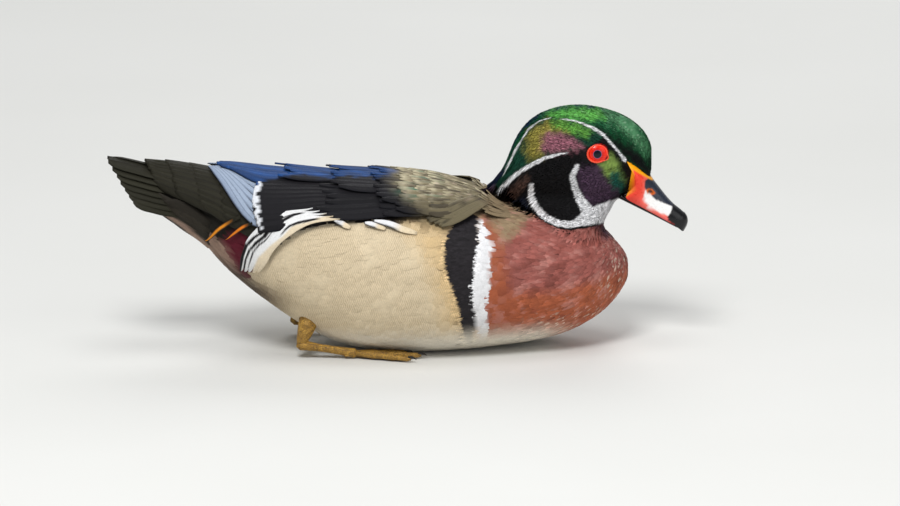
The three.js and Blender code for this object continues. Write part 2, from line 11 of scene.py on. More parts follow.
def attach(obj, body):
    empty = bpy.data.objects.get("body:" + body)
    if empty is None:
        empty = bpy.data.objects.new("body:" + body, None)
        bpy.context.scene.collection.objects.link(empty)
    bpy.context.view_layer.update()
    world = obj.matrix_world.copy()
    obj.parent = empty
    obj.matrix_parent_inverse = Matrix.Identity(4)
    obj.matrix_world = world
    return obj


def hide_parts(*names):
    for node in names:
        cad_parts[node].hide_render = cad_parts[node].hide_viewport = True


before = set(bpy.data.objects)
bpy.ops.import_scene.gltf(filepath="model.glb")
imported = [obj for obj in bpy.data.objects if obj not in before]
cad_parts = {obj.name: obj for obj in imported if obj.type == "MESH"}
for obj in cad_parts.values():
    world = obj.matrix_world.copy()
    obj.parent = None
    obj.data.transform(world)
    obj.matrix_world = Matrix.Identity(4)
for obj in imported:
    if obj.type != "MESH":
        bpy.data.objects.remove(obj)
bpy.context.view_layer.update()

mm = 0.001
scene = bpy.context.scene

# Camera: azimuth and elevation in degrees, width of the view and place of the picture's centre in metres
view = {
    "azimuth": -4.0, "elevation": 13.0, "distance": 6.0, "sensor": 36.0,
    "across": 0.5455, "centre": (0.0303, 0.0552),
}
picture = {"perMetre": 1650.0, "centre": (450.0, 253.0)}
az, el = math.radians(view["azimuth"]), math.radians(view["elevation"])
rightWay = np.array([math.cos(az), math.sin(az), 0.0])
depthWay = np.array([-math.sin(az), math.cos(az), 0.0])
upWay = depthWay * math.sin(el) + np.array([0, 0, math.cos(el)])
aheadWay = np.cross(upWay, rightWay)

headTurn = {"pivot": (0.100, -0.003, 0.0), "yaw": -6.0}  # the head's own frame
headMatrix = Matrix.Translation(headTurn["pivot"]) @ Matrix.Rotation(math.radians(headTurn["yaw"]), 4, "Z")
headRot = np.array(headMatrix.to_3x3())
headShift = np.array(headMatrix.translation)


def toHead(points):
    return (points - headShift) @ headRot


def fromHead(points):
    return points @ headRot.T + headShift


# Place in the picture of each point's twin on the near side, in the picture's own 900 by 506 units
def nearSide(points, onHead=False):
    twin = toHead(points) if onHead else points.copy()
    twin[:, 1] = -np.abs(twin[:, 1])
    if onHead:
        twin = fromHead(twin)
    scale = picture["perMetre"] / (1 + twin @ aheadWay / view["distance"])
    across, up = twin @ rightWay - view["centre"][0], twin @ upWay - view["centre"][1]
    return np.stack([picture["centre"][0] + across * scale, picture["centre"][1] - up * scale], 1)


# Numbers
def ramp(low, high, value):
    s = np.clip((np.asarray(value, float) - low) / (high - low), 0, 1)
    return s * s * (3 - 2 * s)


def tone(red, green, blue):
    c = np.array([red, green, blue], float) / 255
    return np.where(c <= 0.04045, c / 12.92, ((c + 0.055) / 1.055) ** 2.4)


def unit(vectors):
    return vectors / np.maximum(np.linalg.norm(vectors, axis=-1, keepdims=True), 1e-12)


def placesOf(bm):
    return np.array([v.co for v in bm.verts])


def moveTo(bm, points):
    for vert, point in zip(bm.verts, points):
        vert.co = point


def meshFrom(name, bm):
    mesh = bpy.data.meshes.new(name)
    bm.to_mesh(mesh)
    bm.free()
    return mesh


# Distance from places to a bent line, and how far along it they lie, from 0 to 1
def alongLine(places, line):
    line = np.array(line, float)
    steps = np.linalg.norm(np.diff(line, axis=0), axis=1)
    starts = np.concatenate([[0], np.cumsum(steps)])
    best = np.full(len(places), 1e9)
    where = np.zeros(len(places))
    for k in range(len(steps)):
        a, run = line[k], line[k + 1] - line[k]
        s = np.clip(((places - a) @ run) / (run @ run), 0, 1)
        gap = np.linalg.norm(places - a - s[:, None] * run, axis=1)
        closer = gap < best
        best[closer] = gap[closer]
        where[closer] = (starts[k] + s[closer] * steps[k]) / starts[-1]
    return best, where


# 1 on a line whose half width changes along it, 0 away from it
def stripe(places, line, halfWidths, soft=0.8):
    gap, where = alongLine(places, line)
    half = np.interp(where, np.linspace(0, 1, len(halfWidths)), halfWidths)
    return 1 - ramp(half - soft / 2, half + soft / 2, gap)


# 1 inside a closed outline, 0 outside it
def patch(places, outline, soft=2.0):
    closed = list(outline) + [outline[0]]
    gap, _ = alongLine(places, closed)
    inside = np.zeros(len(places), bool)
    for (x0, y0), (x1, y1) in zip(closed[:-1], closed[1:]):
        if y0 == y1:
            continue
        crosses = (y0 > places[:, 1]) != (y1 > places[:, 1])
        inside ^= crosses & (places[:, 0] < (x1 - x0) * (places[:, 1] - y0) / (y1 - y0) + x0)
    return ramp(-soft / 2, soft / 2, np.where(inside, gap, -gap))


def flatTint(count, colour):
    return np.tile(np.asarray(colour, float), (count, 1))


def blendTint(tint, colour, share):
    return tint + (np.asarray(colour, float) - tint) * np.asarray(share)[:, None]


# Smooth unevenness between -1 and 1 from a few crossed waves
def uneven(places, size, seed=0):
    draw = np.random.default_rng(seed)
    total = np.zeros(len(places))
    for _ in range(6):
        wave = draw.normal(size=places.shape[1]) / size
        total += np.sin(places @ wave * 2.2 + draw.uniform(0, 6.28))
    return total / 3.2


# Stations: x, top, bottom, half width, widest level, roundness of the upper side, in millimetres
bodyStations = [
    (-152, 111.8, 95, 4, 105, 2), (-146, 110.5, 86.5, 10.5, 100, 2), (-134, 107, 77, 13, 94, 2.1),
    (-118, 99.5, 64, 15, 83, 2.2), (-108, 102, 52, 23, 77, 2.2), (-95, 104, 40, 32, 71, 2.2),
    (-80, 105, 28, 41, 65, 2.2), (-60, 105, 14, 51, 59, 2.2), (-35, 104.5, 2, 58.5, 54, 2.2),
    (-5, 103.5, -3, 62, 51, 2.2), (25, 100.5, -3, 62, 49, 2.3), (45, 95.5, -2, 59, 48, 2.5),
    (60, 90.5, -0.5, 55.5, 47.5, 2.5), (75, 86, 1, 51.5, 47, 2.4), (95, 81, 5, 46, 46.5, 2.3),
    (112, 77, 12, 38.5, 46.5, 2.2), (125, 70, 21, 28.5, 46.5, 2.1), (134, 60.5, 31.5, 17.5, 46.5, 2),
    (138, 53, 39, 8.5, 46.5, 2), (139.6, 47, 46, 0.6, 46.5, 2),
]
wingStations = [
    (-122, 113, 90, 15, 92, 2.2), (-108, 112, 60, 28, 84, 2.2), (-95, 110.5, 50, 37, 77, 2.2),
    (-80, 108.5, 40, 44.5, 69, 2.2), (-60, 106.5, 14, 52.5, 60.5, 2.2), (-35, 105, 2, 59, 54, 2.2),
    (-5, 104, -3, 62.5, 51, 2.2), (25, 101, -3, 62.5, 49, 2.3), (45, 96, -2, 59.5, 48, 2.5),
    (60, 91, -0.5, 56, 47.5, 2.5),
]
headStations = [
    (-50, 94.6, 93.2, 1.2, 93.9, 2), (-45, 99, 92.8, 6.5, 95.8, 2), (-39, 105.5, 92, 10, 98.5, 2),
    (-35, 113, 91.2, 12.5, 101, 2), (-32, 121.5, 90.5, 14.2, 104.5, 2), (-28, 130.5, 89.5, 16, 108.5, 2),
    (-22, 138, 87.5, 18, 112, 2), (-15, 142.9, 84, 20, 115, 2.1), (-4, 146.8, 81, 21.8, 116.5, 2.2),
    (8, 148.1, 80, 22, 117, 2.2), (20, 146.8, 83, 20, 117, 2.2), (30, 144.2, 88, 16, 116, 2.2),
    (37, 141.2, 91.5, 12, 115, 2.2), (43, 137, 94, 9.6, 114, 2.2), (48, 131.5, 97, 7.8, 113.5, 2.2),
    (51.5, 124, 101, 5.6, 113, 2.2), (52.8, 117, 108, 2.4, 112.5, 2),
]
neckStations = [
    # z, rear, front, half width
    (56, -17, 19, 25), (64, -17, 20, 25), (72, -19, 23.5, 25), (78, -20.5, 25, 23.6),
    (84, -29, 29, 22), (90, -34, 31, 20.5), (97, -26, 30, 17), (104, -14, 27, 14),
]


def rowAt(table, at):
    rows = np.array(table, float)
    at = np.clip(np.asarray(at, float).ravel(), rows[0, 0], rows[-1, 0])
    k = np.clip(np.searchsorted(rows[:, 0], at, side="right") - 1, 0, len(rows) - 2)
    before, after = rows[np.maximum(k - 1, 0)], rows[np.minimum(k + 2, len(rows) - 1)]
    low, high = rows[k], rows[k + 1]
    span = (high - low)[:, :1]
    s = (at - low[:, 0])[:, None] / span
    slopeLow = (high - before) / (high - before)[:, :1] * span
    slopeHigh = (after - low) / (after - low)[:, :1] * span
    return (low * (2 * s**3 - 3 * s**2 + 1) + slopeLow * (s**3 - 2 * s**2 + s)
            + high * (3 * s**2 - 2 * s**3) + slopeHigh * (s**3 - s**2))


# Points of a form of stations at x and degrees from its ridge, to the left where positive
def formPoint(table, x, degrees, grow=0.0):
    x, degrees = np.broadcast_arrays(np.asarray(x, float), np.asarray(degrees, float))
    shape = x.shape
    _, top, bottom, half, wide, roundness = rowAt(table, x).T
    angle = np.radians(degrees.ravel())
    over = np.cos(angle) >= 0
    exponent = 2 / np.where(over, roundness, 2.2)
    rise = np.where(over, top + grow - wide, wide - bottom + grow)
    side, up = [np.sign(f(angle)) * np.abs(f(angle)) ** exponent for f in (np.sin, np.cos)]
    points = np.stack([x.ravel(), np.maximum(half + grow, 0.3) * side, wide + rise * up], 1) * mm
    return points.reshape(shape + (3,))


# Materials: a wire is one output socket, and sums on wires add their Math nodes
class Wire:
    def __init__(self, finish, socket):
        self.finish, self.socket = finish, socket

    def sum(self, operation, first, second=0.0):
        return self.finish.node("ShaderNodeMath", {"operation": operation}, {0: first, 1: second})

    def __add__(self, other):
        return self.sum("ADD", self, other)

    def __radd__(self, other):
        return self.sum("ADD", other, self)

    def __sub__(self, other):
        return self.sum("SUBTRACT", self, other)

    def __rsub__(self, other):
        return self.sum("SUBTRACT", other, self)

    def __mul__(self, other):
        return self.sum("MULTIPLY", self, other)

    def __rmul__(self, other):
        return self.sum("MULTIPLY", other, self)

    def __abs__(self):
        return self.sum("ABSOLUTE", self)

    def sine(self):
        return self.sum("SINE", self)


class Finish:
    def __init__(self, name, **fixed):
        self.material = bpy.data.materials.new(name)
        self.material.use_nodes = True
        self.tree = self.material.node_tree
        self.shader = self.tree.nodes["Principled BSDF"]
        for socket, value in fixed.items():
            self.shader.inputs[socket.replace("_", " ")].default_value = value

    def node(self, kind, settings=None, sockets=None, output=0):
        made = self.tree.nodes.new(kind)
        for key, value in (settings or {}).items():
            setattr(made, key, value)
        for key, value in (sockets or {}).items():
            if isinstance(value, Wire):
                self.tree.links.new(value.socket, made.inputs[key])
            else:
                made.inputs[key].default_value = value
        return Wire(self, made.outputs[output])

    def mix(self, factor, first, second, blend="MIX"):
        sockets = {0: factor}
        for key, colour in ((6, first), (7, second)):
            sockets[key] = colour if isinstance(colour, Wire) else (*colour, 1)
        return self.node("ShaderNodeMix", {"data_type": "RGBA", "blend_type": blend}, sockets, 2)

    def shaded(self, colour, shade):
        grey = self.node("ShaderNodeCombineColor", {}, {0: shade, 1: shade, 2: shade})
        return self.mix(1.0, colour, grey, "MULTIPLY")

    def span(self, value, low, high):
        return self.node("ShaderNodeMapRange", {"interpolation_type": "SMOOTHSTEP"}, {0: value, 1: low, 2: high})

    def noise(self, scale, detail=3.0, place=None):
        sockets = {"Vector": place or self.place(), "Scale": scale, "Detail": detail}
        return self.node("ShaderNodeTexNoise", {}, sockets)

    def place(self):
        return self.node("ShaderNodeTexCoord", {}, {}, "Object")

    def attribute(self, name, output="Color"):
        return self.node("ShaderNodeAttribute", {"attribute_name": name}, {}, output)

    def apart(self, vector):
        split = self.node("ShaderNodeSeparateXYZ", {}, {0: vector}).socket.node
        return [Wire(self, split.outputs[k]) for k in range(3)]

    def raised(self, height, distance, strength):
        return self.node("ShaderNodeBump", {}, {"Height": height, "Distance": distance, "Strength": strength})

    def link(self, **wires):
        for socket, wire in wires.items():
            self.tree.links.new(wire.socket, self.shader.inputs[socket.replace("_", " ")])
        return self.material


# Plumage: the painted tint with fine cross bars where wanted, barbs across each vane and a sheen
plumageLook = {
    "rough": 0.72, "glossRough": 0.4, "glossMetal": 0.6,
    "barbPitch": 0.42, "barbDepth": 0.00012, "finePitch": 1.1, "fineDepth": 0.42,  # pitches in millimetres
}


def plumage(name, onVane=True):
    finish = Finish(name, Specular_IOR_Level=0.2)
    tint = finish.attribute("tint")
    sheen = finish.attribute("sheen", "Fac")
    fine = finish.attribute("fine", "Fac")
    grain = finish.noise(900.0, 2.0)
    cloud = finish.noise(60.0, 2.0)
    waver = finish.noise(330.0, 1.0)
    x, _, z = finish.apart(finish.place())
    if onVane:
        across, along, _ = finish.apart(finish.node("ShaderNodeUVMap", {"uv_map": "barb"}))
        barbs = ((along * 10.0 - abs(across) * 6.0) * (6.283 / plumageLook["barbPitch"]) + grain * 2.0).sine()
    else:
        barbs = (x * 9000.0 + grain * 3.0).sine()
    lines = ((x * 0.94 + z * 0.34) * (6283.0 / plumageLook["finePitch"]) + cloud * 12.0 + waver * 7.0).sine()
    shade = (grain * 0.34 + 0.83) * (barbs * 0.05 + 0.97)
    bars = finish.span(lines, -0.2, 0.9) * fine * finish.span(cloud, 0.25, 0.6) * plumageLook["fineDepth"]
    colour = finish.mix(bars, tint, tone(158, 130, 92))
    colour = finish.shaded(colour, shade)
    height = barbs * 0.5 + grain * 0.8
    rough, glossRough = plumageLook["rough"], plumageLook["glossRough"]
    return finish.link(
        Base_Color=colour,
        Metallic=sheen * plumageLook["glossMetal"],
        Roughness=rough - sheen * (rough - glossRough) + (grain - 0.5) * 0.12,
        Normal=finish.raised(height, plumageLook["barbDepth"], 0.55),
    )


# Stage: pale floor, camera and soft studio lights
def makeStage():
    bm = bmesh.new()
    bmesh.ops.create_grid(bm, x_segments=1, y_segments=1, size=6)
    mesh = meshFrom("floor", bm)
    floor = bpy.data.objects.new("floor", mesh)
    scene.collection.objects.link(floor)
    finish = Finish("palePaper", Roughness=0.9, Specular_IOR_Level=0.1)
    paper = finish.mix(finish.noise(3.0), tone(214, 214, 210), tone(222, 222, 219))
    mesh.materials.append(finish.link(Base_Color=paper))

    camera = bpy.data.objects.new("camera", bpy.data.cameras.new("camera"))
    scene.collection.objects.link(camera)
    camera.data.sensor_width = view["sensor"]
    camera.data.lens = view["sensor"] * view["distance"] / view["across"]
    camera.data.clip_end = 50
    place = rightWay * view["centre"][0] + upWay * view["centre"][1] - aheadWay * view["distance"]
    turn = Matrix([[rightWay[k], upWay[k], -aheadWay[k]] for k in range(3)]).to_4x4()
    camera.matrix_world = Matrix.Translation(place) @ turn
    scene.camera = camera

    lights = {
        # name: place, size, watts
        "key": ((-0.45, -1.6, 2.0), 0.8, 46),
        "fill": ((1.7, -1.5, 0.9), 1.6, 12),
        "rim": ((0.4, 1.8, 1.6), 1.4, 20),
        "top": ((0.1, -0.2, 2.4), 1.2, 14),
    }
    for name, (spot, size, power) in lights.items():
        lamp = bpy.data.lights.new(name, "AREA")
        lamp.energy, lamp.size = power, size
        holder = bpy.data.objects.new(name, lamp)
        holder.location = spot
        holder.rotation_euler = (Vector((0.02, 0, 0.07)) - Vector(spot)).to_track_quat("-Z", "Y").to_euler()
        scene.collection.objects.link(holder)
    scene.world = scene.world or bpy.data.worlds.new("studio")
    scene.world.use_nodes = True
    backing = scene.world.node_tree.nodes["Background"]
    backing.inputs["Color"].default_value = (0.92, 0.95, 1.0, 1)
    backing.inputs["Strength"].default_value = 0.26
    scene.view_settings.view_transform = "Standard"


makeStage()
print("stage ready")


# Finished piece from a mesh, riding on the bird
def makePiece(name, mesh, material, replaced):
    mesh.materials.append(material)
    mesh.shade_smooth()
    made = bpy.data.objects.new(name, mesh)
    scene.collection.objects.link(made)
    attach(made, "root")
    if replaced:
        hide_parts(*replaced)


def setValues(mesh, name, values):
    mesh.attributes.new(name, "FLOAT", "POINT").data.foreach_set("value", values.astype(np.float32))


# Skin: body, neck and head fused into one, inside the solids by the coat's depth
skinLook = {
    "voxel": 1.4, "bodyDepth": 2.0, "headDepth": 1.3, "neckDepth": 1.2, "bellyZ": 1.2,
    "softened": 3, "collarSoftened": 14,  # rounds of smoothing all over, and round the neck
    "collarZ": (62, 99), "collarX": (-46, 44),  # in the head's frame
}


def ballForm(table, rings, around, grow, place=None):
    bm = bmesh.new()
    bmesh.ops.create_uvsphere(bm, u_segments=around, v_segments=rings, radius=1)
    co = placesOf(bm)
    first, last = table[0][0] - grow, table[-1][0] + grow
    x = first + (last - first) * (co[:, 2] + 1) / 2
    points = formPoint(table, np.clip(x, table[0][0], table[-1][0]), np.degrees(np.arctan2(co[:, 1], co[:, 0])), grow)
    points[:, 0] = x * mm
    ends = np.hypot(co[:, 0], co[:, 1]) < 1e-4
    points[ends, 1] = 0
    points[ends, 2] = rowAt(table, x[ends])[:, 4] * mm
    moveTo(bm, points)
    if place is not None:
        bmesh.ops.transform(bm, matrix=place, verts=bm.verts)
    bmesh.ops.recalc_face_normals(bm, faces=bm.faces)
    return bm


def neckForm(grow):
    bm = bmesh.new()
    bmesh.ops.create_cone(bm, cap_ends=True, segments=40, radius1=1, radius2=1, depth=1)
    upright = [e for e in bm.edges if abs(e.verts[0].co.z - e.verts[1].co.z) > 0.5]
    bmesh.ops.subdivide_edges(bm, edges=upright, cuts=12, use_grid_fill=True)
    low, high = neckStations[0][0], neckStations[-1][0]
    for vert in bm.verts:
        z = low + (high - low) * (vert.co.z + 0.5)
        _, rear, front, half = rowAt(neckStations, [z])[0]
        x = (front + rear) / 2 + ((front - rear) / 2 + grow) * vert.co.x
        vert.co = Vector((x * mm, (half + grow) * vert.co.y * mm, z * mm))
    bmesh.ops.transform(bm, matrix=headMatrix, verts=bm.verts)
    bmesh.ops.recalc_face_normals(bm, faces=bm.faces)
    return bm


def treeOf(bm):
    return BVHTree.FromBMesh(bm)


bodyForm = ballForm(bodyStations, 80, 64, -skinLook["bodyDepth"])
headForm = ballForm(headStations, 60, 56, -skinLook["headDepth"], headMatrix)
neckPiece = neckForm(-skinLook["neckDepth"])
formTrees = {"body": treeOf(bodyForm), "head": treeOf(headForm), "neck": treeOf(neckPiece)}


def gapTo(tree, points):
    return np.array([tree.find_nearest(Vector(p))[3] for p in points])


def soften(bm, verts, rounds):
    for _ in range(rounds):
        bmesh.ops.smooth_vert(bm, verts=verts, factor=0.5, use_axis_x=True, use_axis_y=True, use_axis_z=True)


def fuseSkin():
    joined = bmesh.new()
    for part in (bodyForm, headForm, neckPiece):
        loose = bpy.data.meshes.new("loose")
        part.to_mesh(loose)
        joined.from_mesh(loose)
        bpy.data.meshes.remove(loose)
        part.free()
    rough = bpy.data.objects.new("fused", meshFrom("fused", joined))
    scene.collection.objects.link(rough)
    remesh = rough.modifiers.new("remesh", "REMESH")
    remesh.mode, remesh.voxel_size, remesh.adaptivity = "VOXEL", skinLook["voxel"] * mm, 0
    fused = bpy.data.meshes.new_from_object(rough.evaluated_get(bpy.context.evaluated_depsgraph_get()))
    bpy.data.objects.remove(rough)
    bm = bmesh.new()
    bm.from_mesh(fused)
    bpy.data.meshes.remove(fused)
    soften(bm, bm.verts, skinLook["softened"])
    local = toHead(placesOf(bm)) / mm
    (low, high), (rear, ahead) = skinLook["collarZ"], skinLook["collarX"]
    near = (local[:, 2] > low) & (local[:, 2] < high) & (local[:, 0] > rear) & (local[:, 0] < ahead)
    soften(bm, [v for v, keep in zip(bm.verts, near) if keep], skinLook["collarSoftened"])
    for vert in bm.verts:
        vert.co.z = max(vert.co.z, skinLook["bellyZ"] * mm)
    bmesh.ops.recalc_face_normals(bm, faces=bm.faces)
    return bm


skinForm = fuseSkin()
skinForm.normal_update()
skinTree = treeOf(skinForm)
skinPoints = placesOf(skinForm)
skinNormals = np.array([v.normal for v in skinForm.verts])
print("skin fused:", len(skinForm.verts), "vertices")


# Markings, painted alike on skin and coat. Outlines are places in the picture of the near side.
white, black = tone(232, 232, 234), tone(8, 7, 9)
headMarks = {
    "edge": [(505, 205), (520, 213), (533, 214), (545, 223), (559, 229), (572, 230), (591, 227), (606, 222), (616, 214),
             (622, 204), (680, 240), (700, 100), (480, 80), (470, 215), (498, 206), (516, 199)],
    "brow": ([(625, 160), (615, 147.5), (603.5, 135), (595, 129), (582, 123), (570, 120), (560, 119)],
             [1.8, 1.2, 1.2, 1.4, 1.0, 0.7, 0.2]),
    "upperCrest": ([(552, 117), (539, 121), (529, 129), (521, 140.5), (514, 153), (508, 166), (504.6, 175)],
                   [0.2, 0.6, 0.8, 0.9, 1.0, 0.9, 0.3]),
    "lowerCrest": ([(568, 152.5), (555, 155), (543, 159), (529, 166), (518, 173), (505, 185), (489, 203)],
                   [0.6, 1.5, 2.1, 2.2, 2.2, 1.9, 1.5]),
    "cheekBar": ([(577, 166), (572.5, 177), (575, 188), (580, 199), (588, 211)], [2.4, 2.9, 3.4, 4.4, 6.5]),
    "strap": ([(531, 185), (531, 197), (536.5, 208), (546, 218), (559, 223.5), (571, 224.5), (587, 221), (604, 216)],
              [2.4, 3.0, 3.4, 3.4, 3.3, 3.3, 4.0, 4.5]),
    "rim": ([(527, 184), (527, 198), (532, 211), (543, 223), (558, 229), (572, 230), (590, 227), (606, 222)],
            [1.2, 1.6, 1.8, 1.8, 1.8, 1.8, 1.8, 1.4]),
    # outline of the pale specks on the crown front, a painted highlight
    "crownGlint": [(560, 108), (600, 105), (634, 114), (650, 140), (651, 158), (640, 152), (622, 136), (600, 122),
             (566, 116)],
    "throat": [(584, 211), (590, 208), (600, 204), (612, 200), (622, 196), (640, 196), (622, 212), (608, 222),
               (584, 226), (574, 220)],
}
headPatches = [
    # outline, softness, colour, sheen
    ([(660, 184), (664, 150), (640, 100), (600, 88), (540, 92), (505, 130), (490, 170), (506, 168), (521, 140),
      (539, 121),
      (552, 117), (582, 123), (603.5, 135), (615, 147.5), (625, 159), (640, 170)], 2, tone(14, 84, 48), 0.7),
    ([(470, 215), (480, 150), (505, 120), (536, 96), (560, 92), (610, 90), (632, 110), (600, 106.5), (566, 107),
      (540, 115), (520, 133),
      (511, 150), (504, 170), (494, 188)], 5, tone(10, 30, 66), 0.6),
    ([(596, 126), (606, 130), (624, 143), (640, 153), (649, 160), (660, 190), (636, 170), (624.5, 159), (615, 147.5),
      (603.5, 134)],
     9, tone(4, 9, 8), 0.2),
    # pale green on the crown front: painted highlight of the head's sheen
    ([(600, 107), (618, 112), (636, 124), (648, 142), (650, 156), (640, 148), (626, 134), (606, 120)],
     9, tone(74, 128, 88), 0.3),
    ([(546, 112), (575, 108), (598, 110), (606, 117), (590, 121), (568, 118), (552, 118)], 8, tone(104, 186, 84), 0.6),
    ([(549, 117), (570, 120), (595, 129), (604, 138), (596, 143), (585, 147), (575, 150), (567, 152), (543, 158),
      (529, 165),
      (510, 182), (488, 204), (492, 190), (504, 174), (514, 153), (521, 140), (529, 129), (539, 121)],
     2, tone(16, 62, 46), 0.55),
    ([(531, 130), (546, 121), (562, 124), (572, 133), (552, 134), (545, 146), (542, 157), (530, 160), (524, 150)],
     9, tone(146, 136, 62), 0.5),
    ([(549, 119), (575, 122), (592, 131), (586, 137), (568, 131), (552, 127)], 7, tone(92, 152, 60), 0.55),
    ([(543, 138), (552, 132.5), (562, 135), (573, 138), (583, 146), (578, 151), (566, 150.5), (552, 153), (542, 150)],
     8, tone(152, 96, 110), 0.4),
    ([(600, 162), (611, 154), (619, 163), (623, 181), (615, 189), (603, 176)], 8, tone(122, 148, 72), 0.45),
    ([(608, 176), (619, 172), (624, 189), (614, 195)], 7, tone(26, 92, 78), 0.5),
    ([(580, 168), (598, 166), (609, 180), (620, 195), (600, 203), (589, 206), (578, 188)], 8, tone(74, 54, 74), 0.3),
    ([(500, 202), (512, 187), (527, 173), (529, 184), (520, 196), (508, 204)], 5, tone(82, 60, 52), 0.2),
    # dark blue under the crest, between nape and mantle: painted shadow
    ([(506, 206), (520, 198), (529, 190), (531, 208), (524, 214)], 4, tone(12, 18, 34), 0.2),
    ([(478, 188), (494, 188), (492, 201), (478, 206)], 5, tone(96, 74, 92), 0.35),
]


def paintHead(points):
    at = nearSide(points, True)
    wobble = uneven(points, 0.0022, 5)[:, None] * 0.7
    tint = flatTint(len(points), black)
    sheen = np.full(len(points), 0.12)
    drift = np.stack([uneven(points, 0.0032, 51), uneven(points, 0.0028, 52)], 1) * 2.2
    drift = drift + np.stack([uneven(points, 0.0009, 53), uneven(points, 0.001, 54)], 1) * 1.4
    for outline, soft, colour, gloss in headPatches:
        share = patch(at + (drift if soft > 4 else wobble), outline, soft * 1.3)
        tint = blendTint(tint, colour, share)
        sheen += (gloss - sheen) * share
    speck = uneven(points, 0.0009, 61) * uneven(points, 0.0014, 62) + 0.5 * uneven(points, 0.0006, 63)
    tint *= np.clip(1 + 0.55 * speck, 0.25, 2.2)[:, None]
    # pale green-grey specks on the crown front: painted highlight of the head's sheen
    crownGlint = patch(at, headMarks["crownGlint"], 12) * ramp(0.3, 0.9, speck)
    tint = blendTint(tint, tone(150, 176, 150), 0.55 * crownGlint)
    rim = stripe(at, *headMarks["rim"])
    tint = blendTint(tint, black, rim)
    pale = patch(at, headMarks["throat"], 2)
    nape = ramp(0.001, -0.001, gapTo(formTrees["head"], points) - gapTo(formTrees["neck"], points))
    for key in ("brow", "upperCrest", "lowerCrest", "cheekBar", "strap"):
        line = stripe(at + wobble * 0.5, *headMarks[key])
        if key == "lowerCrest":
            line *= nape
        pale = np.maximum(pale, line)
    tint = blendTint(tint, white, pale)
    sheen *= 1 - np.maximum(pale, rim)
    return tint, sheen, np.zeros(len(points))


bodyPatches = [
    # outline, softness, colour, sheen, fineness of cross bars
    ([(90, 140), (215, 160), (340, 150), (500, 150), (520, 200), (433, 233), (387, 223), (330, 222), (300, 227),
      (262, 250),
      (240, 285), (150, 240)], 4, tone(30, 26, 24), 0.25, 0),
    ([(395, 150), (540, 150), (540, 215), (470, 216), (440, 236), (425, 226), (404, 205), (392, 180)],
     14, tone(132, 119, 92), 0.2, 0),
    ([(243, 282), (262, 251), (285, 236), (310, 227), (340, 222), (387, 223), (412, 227), (433, 231), (442, 243),
      (448, 258), (452, 268),
      (460, 291), (466, 312), (470, 360), (230, 360)], 3, tone(218, 201, 170), 0, 1),
    ([(404, 226), (466, 224), (470, 243), (474, 258), (476, 268), (476, 291), (476, 330), (444, 330), (426, 262)],
     34, tone(212, 184, 138), 0, 1),
    ([(440, 236), (463, 212), (470, 190), (560, 190), (560, 215), (530, 238), (515, 256), (492, 262), (484, 222)],
     8, tone(146, 126, 98), 0.1, 0),
    ([(484, 218), (500, 246), (520, 232), (534, 212), (560, 205), (640, 190), (660, 240), (640, 300), (600, 330),
      (480, 360)],
     12, tone(149, 86, 78), 0.2, 0),
    ([(484, 222), (496, 232), (504, 262), (508, 292), (560, 292), (608, 276), (640, 262), (640, 330), (482, 360)],
     18, tone(164, 88, 58), 0.1, 0),
    ([(586, 224), (622, 196), (630, 215), (618, 236), (604, 240), (596, 228)], 8, tone(84, 56, 68), 0.3, 0),
    ([(90, 130), (205, 160), (232, 196), (262, 226), (250, 246), (240, 276), (210, 262), (120, 210)],
     6, tone(30, 27, 22), 0.2, 0),
    ([(226, 240), (244, 226), (262, 224), (262, 250), (248, 280), (236, 272), (224, 262)], 6, tone(92, 22, 38),
     0.35, 0),
    ([(196, 238), (212, 234), (228, 250), (244, 282), (230, 290), (205, 262)], 8, tone(150, 124, 108), 0, 0),
]
mantleEdge = [(395, 150), (540, 150), (528, 200), (500, 214), (470, 214), (444, 232), (425, 226), (404, 205),
              (392, 180)]
blackBar = ([(464, 210), (471, 222), (463, 241), (461, 266), (465, 290), (468, 307), (470, 325), (472, 346)],
            [2.5, 13, 17.5, 15, 11.5, 9, 7, 3])
whiteBar = ([(482, 221), (484, 230), (485.5, 241), (482, 266), (481, 290), (481, 307), (482, 325), (484, 346)],
            [1.2, 5.5, 7.6, 7.2, 6, 5.2, 4.6, 2])


